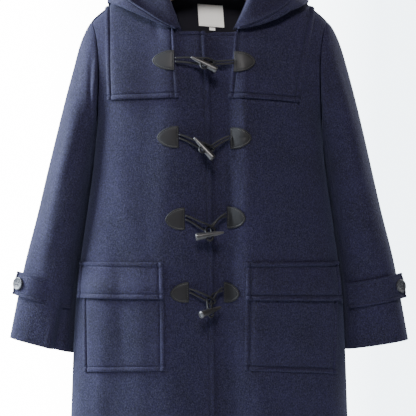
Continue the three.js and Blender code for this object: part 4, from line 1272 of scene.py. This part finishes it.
# pairs of the inset from the outline and the height above the body
tabProfile = [(60, 0.0), (6, 0.0), (1.2, 0.0), (0.35, 0.15), (0, 0.5), (0, 1.2), (0.12, 1.55), (0.45, 1.85),
              (0.95, 2.0), (1.6, 2.05), (2.1, 1.98), (2.45, 1.78), (2.7, 1.7), (2.95, 1.78), (3.3, 1.98),
              (4.0, 2.1), (6, 2.2), (10, 2.26), (60, 2.3)]
tabColumns = ("hand", "straight", "tip", "top", "low", "fall")
closures = [
    {
        "tabs": [(-1, 60.5, 98.8, -231.6, -266.4, 0), (1, 43.8, 79.4, -232.4, -268.9, 0)],
        "loop": [
            (-59.3, -81.4, -243.8), (-40, -84.5, -243.2), (-18, -86.5, -244.2), (1, -87, -245.8),
            (9, -86.5, -251.6), (1, -86, -257.4), (-18, -85.5, -254.8), (-40, -84, -251.4),
            (-59.3, -81.2, -249.8),
        ],
        "upper": [
            (42.6, -77.8, -247.4), (24, -79, -248.6), (9, -80, -249.6), (0, -82, -250), (-7, -88, -248.6),
        ],
        "lower": [
            (0, -90, -252), (1, -83, -253), (10, -80, -254), (26, -78.8, -253.4), (42.6, -77.6, -252.4),
        ],
        "thin": (-31.6, -99, -243.6), "thick": (13.2, -97, -266), "below": (-0.37, -0.57, -0.73),
    },
    {
        "tabs": [(-1, 53.3, 90.5, -361.9, -399.9, 1), (1, 37.5, 72.9, -363.6, -401.6, 0)],
        "loop": [
            (-51.9, -88.2, -376.6), (-40, -90, -380.2), (-24.5, -91, -386.6), (-4, -91, -393.6),
            (8.5, -90, -402), (0, -89, -407.4), (-20, -89, -397.6), (-38, -89, -388.4),
            (-51.9, -88, -382.8),
        ],
        "upper": [
            (35, -81, -379.2), (26, -82.4, -382.4), (13, -84, -389.6), (4, -85, -395.8),
            (-3, -88.5, -398.6),
        ],
        "lower": [
            (-1, -91.5, -402.4), (4, -84.5, -401.4), (13, -82, -396), (25, -80.6, -388),
            (35, -80.6, -384.2),
        ],
        "thin": (-23.8, -101, -385), "thick": (4.6, -107, -416), "below": (-0.6, -0.57, -0.55),
    },
    {
        "tabs": [(-1, 42.9, 76.7, -502.9, -541.8, 2), (1, 31.8, 63.3, -500.3, -539.2, 2)],
        "loop": [
            (-41, -91.2, -517), (-30, -92.5, -520.6), (-14, -93, -528), (2, -92.5, -534.8),
            (10, -91.5, -542), (2, -91, -547.6), (-14, -91.5, -538.6), (-30, -91.5, -528.6),
            (-41, -91, -523.2),
        ],
        "upper": [
            (29.2, -81.2, -512.6), (23, -82, -516.4), (15, -84.5, -523.6), (8.5, -86, -533),
            (3, -89.5, -539.8), (2.6, -94, -541),
        ],
        "lower": [
            (-6, -96.4, -541.4), (-4, -90, -538), (3, -85.4, -534.8), (11, -82.4, -527), (20, -80, -520.8),
            (29.2, -81, -518),
        ],
        "thin": (23.5, -100, -545.9), "thick": (-21.2, -106, -553.6), "below": (0.1, -0.35, -0.93),
    },
    {
        "tabs": [(-1, 36, 68, -631.5, -667, 3), (1, 25.3, 52.9, -631.5, -667.7, 3)],
        "loop": [
            (-34, -92, -643.4), (-24, -93.5, -646.4), (-9, -94, -652.4), (4, -93.5, -659),
            (10.5, -92.5, -664.5), (4, -92, -669.4), (-9, -92.5, -661.4), (-24, -92.5, -653.8),
            (-34, -91.8, -649.4),
        ],
        "upper": [
            (23.6, -80.4, -641.6), (18, -82, -645.4), (12.5, -85.5, -652), (9, -87, -658.6),
            (4, -91, -663.4), (3.4, -96.5, -665.6),
        ],
        "lower": [
            (-3.4, -98, -663.6), (-3, -91, -660.4), (3, -86.4, -657.4), (7.4, -82.4, -652.4),
            (15, -80, -649.4), (23.6, -80, -647.2),
        ],
        "thin": (18.3, -88, -675.6), "thick": (-12.6, -118, -686), "below": (0, 0, -1),
    },
]
toggle = {
    "bores": (-3.5, 6),    # places of the two bores, from the middle towards the thick end
    "boreRadius": 2.3,
    "boreHalf": 5.3,       # half of a bore's depth
    "boreRim": 0.7,        # flare of its rims
    "lead": 7.5,           # straight run of the cord before and after a bore
    "cord": 1.7,           # radius
}
toggleShape = {
    "at": [-25, -24.8, -24.3, -22.8, -20.5, -14, -6, 2, 10, 17, 22, 23.8, 24.7, 25],
    "radius": [0, 0.9, 1.55, 2.1, 2.5, 3.3, 4.15, 4.85, 5.5, 5.95, 6.25, 6.25, 5.7, 0],
}


# leather patch with one straight side and a pointed arch
def makeTab(node, tab, lift):
    spread, narrow, roundness = tabLook["powers"]
    arch = np.sin(np.linspace(0, np.pi / 2, 34)) ** spread
    half = (tab["top"] - tab["low"]) / 2 * (1 - arch ** narrow) ** roundness
    middle = (tab["top"] + tab["low"]) / 2 - tab["fall"] * arch
    x = mix(tab["straight"], tab["tip"], arch)
    upper = np.stack([x, middle + half], -1)
    lower = np.stack([x, middle - half], -1)[::-1]
    outline = roundedOutline(np.vstack([upper, lower[1:]]), 120, 4)
    rings, flat = [], []
    for inset, height in tabProfile:
        ring = insetRing(outline, inset)
        raised = tabLook["room"] + height + lapLift(tab["hand"], -ring[:, 0]) + lift
        rings.append(onBody(-1, tab["hand"], ring[:, 0], ring[:, 1], raised)[0])
        flat.append(ring)
    patch = ringSolid(node + "_leather", np.array(rings), np.array(flat))
    finishPiece(patch, tabLeather, "leather", (node,))
    ring = insetRing(outline, tabLook["stitch"])
    ring = np.vstack([ring, ring[:1]])
    raised = tabLook["room"] + tabLook["stitchHeight"] + lapLift(tab["hand"], -ring[:, 0]) + lift
    line = onBody(-1, tab["hand"], ring[:, 0], ring[:, 1], raised)
    makeStitches(node + "_stitches", [line], blackThread, "leather", tabStitch)


# round cord along a smooth line through points
def makeCord(node, ending, points, radius, material, slot, steps, sides=12):
    line = curvePoints(points, np.linspace(0, 1, steps))
    ahead = unit(np.gradient(line, axis=0))
    side = np.cross(ahead[0], (0, 0, 1))
    rings, flat = [], []
    lengths = arcLength(line, 0)
    turns = roundAngles(sides)
    for point, heading, length in zip(line, ahead, lengths):
        side = unit(side - heading * side.dot(heading))
        up = np.cross(heading, side)
        swell = 1 + 0.02 * np.sin(length * 0.9) + 0.015 * np.sin(length * 2.3 + 1)
        around = np.cos(turns)[:, None] * side + np.sin(turns)[:, None] * up
        rings.append(point + radius * swell * around)
        flat.append(np.stack([turns * radius, 0 * turns + length], -1))
    closed = [np.repeat(line[:1], sides, 0), *rings, np.repeat(line[-1:], sides, 0)]
    flat = np.array([flat[0], *flat, flat[-1]])
    cord = ringSolid(node + ending, np.array(closed), flat)
    finishPiece(cord, material, slot, (node,))


# solid turned about the Z axis, from the radius at places along it
def turned(name, places, radii, sides, wobble=0.0):
    turns = roundAngles(sides)
    rings = []
    for place, size in zip(places, radii):
        across = size * (1 + wobble * np.cos(2 * turns + place * 0.05))
        rings.append(np.stack([across * np.cos(turns), across * np.sin(turns), 0 * turns + place], -1))
    return ringSolid(name, np.array(rings))


# cuts holes with flared rims through a piece, each given by its centre and all by their heading
def drill(piece, centres, heading, radius, depth, flare):
    outer, rim = radius + 2 * flare, radius + flare
    places = [-depth - 3, -depth, -depth + flare, depth - flare, depth, depth + 3]
    radii = [outer, rim, radius, radius, rim, outer]
    turn = Vector((0, 0, 1)).rotation_difference(Vector(heading)).to_matrix().to_4x4()
    cutters = bmesh.new()
    for centre in centres:
        part = bmesh.ops.create_grid(cutters, x_segments=20, y_segments=7, size=0.5)["verts"]
        for vert in part:
            angle = 2 * math.pi * (vert.co.x + 0.5)
            j = round((vert.co.y + 0.5) * 7)
            inner = min(max(j - 1, 0), 5)
            size = 0 if j in (0, 7) else radii[inner]
            spot = Vector((size * math.cos(angle), size * math.sin(angle), places[inner]))
            vert.co = (turn @ spot + Vector(centre)) * mm
        bmesh.ops.remove_doubles(cutters, verts=part, dist=1e-6)
    bmesh.ops.recalc_face_normals(cutters, faces=cutters.faces)
    cutter = objectFrom("drill", cutters)
    cut = piece.modifiers.new("holes", "BOOLEAN")
    cut.operation = "DIFFERENCE"
    cut.solver = "EXACT"
    cut.object = cutter
    evaluated = piece.evaluated_get(bpy.context.evaluated_depsgraph_get())
    finished = bpy.data.meshes.new_from_object(evaluated)
    piece.modifiers.clear()
    piece.data = finished
    bpy.data.objects.remove(cutter)


# puts a piece made at the origin along +Z in its place, by moving its mesh
def placePiece(piece, axis, side, centre):
    axis, side = Vector(axis).normalized(), Vector(side)
    side = (side - axis * side.dot(axis)).normalized()
    turn = Matrix((side, axis.cross(side), axis)).transposed().to_4x4()
    piece.data.transform(Matrix.Translation(Vector(centre) * mm) @ turn)


toggleEnds = (toggleShape["at"][0] + 3, toggleShape["at"][-1] - 3)
toggleAt = np.unique([*toggleShape["at"], *np.linspace(*toggleEnds, 26)])
toggleRadius = np.interp(toggleAt, toggleShape["at"], toggleShape["radius"])
for number, closure in enumerate(closures, 1):
    overYoke = coat["layGap"] + coat["cloth"] + 0.6 if number == 1 else 0
    for row in closure["tabs"]:
        tab = dict(zip(tabColumns, row))
        makeTab(f"toggle_tab_{sideName[tab['hand']]}_{number}", tab, overYoke)
    makeCord(f"toggle_loop_{number}", "_cord", closure["loop"], toggle["cord"], cordLeather, "cord", 90)
    thin, thick, below = (np.array(closure[key], float) for key in ("thin", "thick", "below"))
    axis = unit(thick - thin)
    middle = (thin + thick) / 2
    through = unit(below - axis * below.dot(axis))
    horn = turned(f"toggle_{number}_horn", toggleAt, toggleRadius, 28, 0.03)
    drill(horn, [(0, 0, place) for place in toggle["bores"]], (1, 0, 0), toggle["boreRadius"],
          toggle["boreHalf"], toggle["boreRim"])
    placePiece(horn, axis, through, middle)
    finishPiece(horn, toggleHorn, "horn", (f"toggle_{number}",))
    first, second = (middle + axis * place for place in toggle["bores"])
    lead = through * toggle["lead"]
    path = [*closure["upper"], first - lead, first, first + lead,
            (first + second) / 2 + through * (toggle["lead"] + 3),
            second + lead, second, second - lead, *closure["lower"]]
    makeCord(f"toggle_cord_{number}", "_cord", path, toggle["cord"], cordLeather, "cord", 150)
print("closures made")


# buttons on the cuff straps

buttonShape = {
    "place": [0, 0.02, 0.3, 1.0, 3.2, 3.75, 4.0, 3.92, 3.6, 3.3, 3.22, 3.2],
    "radius": [0, 10.6, 11.2, 11.5, 11.5, 11.1, 10.3, 9.5, 8.6, 7.2, 4, 0],
}
button = {
    "along": 0.895,        # its place along the strap
    "hole": 1.05,
    "holeMiddle": 1.6,
    "holeHalf": 2.2,
    "holeRim": 0.35,
    "spread": 2.3,         # of the holes from the middle, each way
    "threadAt": 3.3,       # height of the thread
}


def makeButton(band):
    hand, spread = band["hand"], button["spread"]
    across = strapPoint(band, 0.94, 0.5) - strapPoint(band, 0.85, 0.5)
    down = strapPoint(band, button["along"], 0.1) - strapPoint(band, button["along"], 0.9)
    out = unit(-hand * np.cross(across, down))
    centre = strapPoint(band, button["along"], 0.5) + out * (strap["lift"] + coat["cloth"] + coat["layGap"])
    node = f"cuff_button_{sideName[hand]}"
    horn = turned(node + "_horn", buttonShape["place"], buttonShape["radius"], 40)
    holes = [(x * spread, y * spread, button["holeMiddle"]) for x in (-1, 1) for y in (-1, 1)]
    drill(horn, holes, (0, 0, 1), button["hole"], button["holeHalf"], button["holeRim"])
    placePiece(horn, out, across, centre)
    finishPiece(horn, buttonHorn, "button_horn", (node,))
    side = unit(across)
    up = np.cross(out, side)
    threads = bmesh.new()
    half = (0.26 * mm, 0.3 * mm, (spread + 0.7) * mm)
    for y in (-spread, spread):
        for k in (-0.36, 0, 0.36):
            spot = Vector(centre + up * (y + k) + out * (button["threadAt"] + 0.12 * (k == 0)))
            addGrain(threads, spot * mm, (Vector(up), Vector(out), Vector(side)), half, (8, 8))
    threadObject(node + "_thread", threads, navyThread, "button_horn")


for band in straps:
    makeButton(band)
print("buttons made")


# inside the neck: facing, blank label and size tab

facing = {"half": 67, "drop": 5, "deep": 14, "curve": 112, "outer": 6.15}


def facingSurface(u, v):
    x = mix(-facing["half"], facing["half"], u)
    top = backTopZ(x) - facing["drop"]
    z = mix(top - facing["deep"] - facing["curve"] * np.sin(np.pi * u), top, v)
    return bodyPoint(1, z, angleAt(z, x))


sewCloth("back_neck_facing", facingSurface, 1, {"step": 5, "round": 0.4, "cloth": 1.2}, {},
         facing["outer"], flat=(0.14, 0.13), area=0.0115,
         marks={side: plainMarks(6) for side in sides}, finish={"material": liningCloth, "slot": "lining"})

# woven labels: width, height and tilt of each, its place and how it stands off
labels = [
    {"node": "neck_label", "x": 1.5, "top": -135.5, "width": 46, "height": 39, "tilt": 0.07, "outer": 7.3,
     "wall": 0.8, "hem": 5, "sewn": 1.8, "flat": (0.048, 0.052), "area": 0.0018},
    {"node": "size_tab", "x": 5.5, "top": -176, "width": 10.5, "height": 5, "tilt": 0.07, "outer": 7.3,
     "wall": 0.7, "hem": 0.9, "sewn": 0, "flat": (0.0105, 0.0105), "area": 0.00006},
]


def labelSurface(label):
    def surface(u, v):
        across = mix(-label["width"] / 2, label["width"] / 2, u)
        drop = (1 - v) * label["height"]
        x = label["x"] + across + drop * label["tilt"]
        z = label["top"] - drop - across * label["tilt"]
        return bodyPoint(1, z, angleAt(z, x))
    return surface


labelShape = {"doubled": 0.32, "bow": 0.5, "drawn": 0.22, "drawnWidth": 0.5, "lowRoom": 8}


# the tape is doubled at its turned hems, and its sewn edge is drawn in
def labelRelief(label):
    def relief(distances):
        ends = np.minimum(distances["low"], distances["top"])
        doubled = labelShape["doubled"] * (1 - smooth(ends, label["hem"] - 0.5, label["hem"] + 0.3))
        bowed = labelShape["bow"] * np.sin(np.pi * distances["left"] / label["width"]) ** 2
        edge = np.minimum(np.minimum(distances["left"], distances["right"]), ends)
        drawn = 0
        if label["sewn"]:
            drawn = labelShape["drawn"] * bell(edge - label["sewn"], labelShape["drawnWidth"])
        return doubled - drawn + bowed * (1 - smooth(-distances["low"], -labelShape["lowRoom"], 0))
    return relief


labelMarks = {side: [0, 0.35, 0.9, 1.3, 1.8, 2.3, 2.9, 4.4, 5.4] for side in sides}
labelFinish = {"material": labelTape, "slot": "label", "thread": paleThread,
               "stitch": {"pitch": 2.3, "long": 1.7, "thick": 0.2, "sunk": 0.02}}
for label in labels:
    look = {"step": 2.5, "dent": 0, "fullness": 0, "round": 0.16, "cloth": label["wall"]}
    sewn = {side: label["sewn"] for side in sides} if label["sewn"] else {}
    sewCloth(label["node"], labelSurface(label), 1, look, sewn, label["outer"], flat=label["flat"],
             area=label["area"], marks=labelMarks, relief=labelRelief(label),
             finish=labelFinish)
print("labels sewn")


# hanger of one piece of wood with a steel hook

arms = {
    "x": [-198, -190, -165, -130, -85, -40, 0, 40, 85, 130, 165, 190, 198],
    "top": [-167.6, -159.6, -144.6, -127.6, -108.6, -93.6, -85.6, -93.6, -108.6, -127.6, -144.6,
            -159.6, -167.6],
    "height": [9, 16, 24, 29, 31, 34, 38, 34, 31, 29, 24, 16, 9],
    "thick": [9, 12, 14, 14, 14, 14, 14, 14, 14, 14, 14, 12, 9],
}
wood = {"power": 2.6, "sides": 28, "endRound": 3.0}
hook = {"wire": 2, "inside": 20, "low": -86}


def makeWoodArms():
    end = arms["x"][-1]
    places = np.linspace(-end, end, 91)
    turns = roundAngles(wood["sides"])
    rings = []
    for x in places:
        top, height, thick = (float(along(arms, "x", key, x)) for key in ("top", "height", "thick"))
        toEnd = end - abs(x)
        rounded = math.sqrt(max(0, 1 - (1 - min(toEnd / wood["endRound"], 1)) ** 2))
        y = thick / 2 * signedPower(np.cos(turns), 2 / wood["power"]) * rounded
        z = top - height / 2 + height / 2 * signedPower(np.sin(turns), 2 / wood["power"]) * rounded
        rings.append(np.stack([0 * turns + x, y, z], -1))
    return ringSolid("hanger_wood_arms", np.array(rings))


finishPiece(makeWoodArms(), beech, "wood", ("hanger_wood",))
bend = hook["inside"] + hook["wire"]
hookPath = [(0, 0, hook["low"]), (0, 0, -66), (0.5, 0, -54), (6, 0, -44)]
for degrees in range(-50, 216, 20):
    turn = math.radians(degrees)
    hookPath.append((bend * math.cos(turn), 0, -hook["inside"] + bend * math.sin(turn)))
makeCord("hanger_hook", "_wire", hookPath, hook["wire"], plate, "steel", 140, 16)
print("hanger made")


# camera, lights and floor

view = {
    "camera": (-0.0023, -3.0, -0.5037),
    "lens": 145.8,
    "floorZ": -1.32,
}
cameraData = bpy.data.cameras.new("camera")
cameraData.lens = view["lens"]
cameraData.sensor_width = 36
camera = bpy.data.objects.new("camera", cameraData)
camera.location = view["camera"]
camera.rotation_euler = (math.radians(90), 0, 0)
bpy.context.scene.collection.objects.link(camera)
bpy.context.scene.camera = camera

lamps = [
    {"name": "key", "at": (-1.8, 0.04, 0.25), "aim": (-0.1, 0, -0.5), "size": (0.7, 1.3), "power": 305,
     "colour": (0.80, 0.895, 1.0)},
    {"name": "fill", "at": (-0.1, -2.7, 1.5), "aim": (0.05, 0, -0.45), "size": (1.0, 0.8), "power": 142,
     "colour": (1.0, 0.955, 0.94)},
    {"name": "rim", "at": (1.9, 1.1, 0.6), "aim": (0, 0, -0.4), "size": (1.2, 1.6), "power": 85,
     "colour": (0.96, 0.98, 1.0)},
]
for lamp in lamps:
    data = bpy.data.lights.new(lamp["name"], "AREA")
    data.shape = "RECTANGLE"
    data.size, data.size_y = lamp["size"]
    data.energy = lamp["power"]
    data.color = lamp["colour"]
    light = bpy.data.objects.new(lamp["name"], data)
    light.location = lamp["at"]
    light.rotation_euler = (Vector(lamp["aim"]) - Vector(lamp["at"])).to_track_quat("-Z", "Y").to_euler()
    bpy.context.scene.collection.objects.link(light)

# the paper behind the coat looks brighter than the light that it gives; it is painted lit on the left and
# in painted shade on the right
studio = {"litLeftPaper": (1.0, 1.0, 1.0), "shadedRightPaper": (0.31, 0.35, 0.38), "paperStrength": 16.0,
          "light": (0.80, 0.88, 1.0), "lightStrength": 0.03}
g = Graph(bpy.data.worlds.new("studio"), "Background")
g.surface(Color=studio["light"], Strength=studio["lightStrength"])
across = g.node("ShaderNodeSeparateXYZ", None, {"Vector": g.place("Generated")})
side = g.node("ShaderNodeMapRange", None, {"Value": across, "From Min": -0.1, "From Max": 0.1})
# backdrop seen only by the camera: painted light on the left, fading to painted shade on the right
paper = g.node("ShaderNodeBackground", None, {
    "Color": g.tint(side, studio["litLeftPaper"], studio["shadedRightPaper"]), "Strength": studio["paperStrength"]})
seen = g.node("ShaderNodeLightPath", output="Is Camera Ray")
both = g.node("ShaderNodeMixShader", None, {0: seen, 1: Port(g, g.shader.outputs[0]), 2: paper})
g.feed(g.tree.nodes["World Output"].inputs["Surface"], both)
bpy.context.scene.world = g.owner

floorMesh = bmesh.new()
bmesh.ops.create_circle(floorMesh, cap_ends=True, segments=96, radius=2.6,
                        matrix=Matrix.Translation((0, 0, view["floorZ"])))
floor = objectFrom("floor", floorMesh)
floorPaper = newMaterial("floor paper")
floor.data.materials.append(floorPaper.surface(Base_Color=(0.82, 0.83, 0.85, 1), Roughness=0.7))
print("stage set")
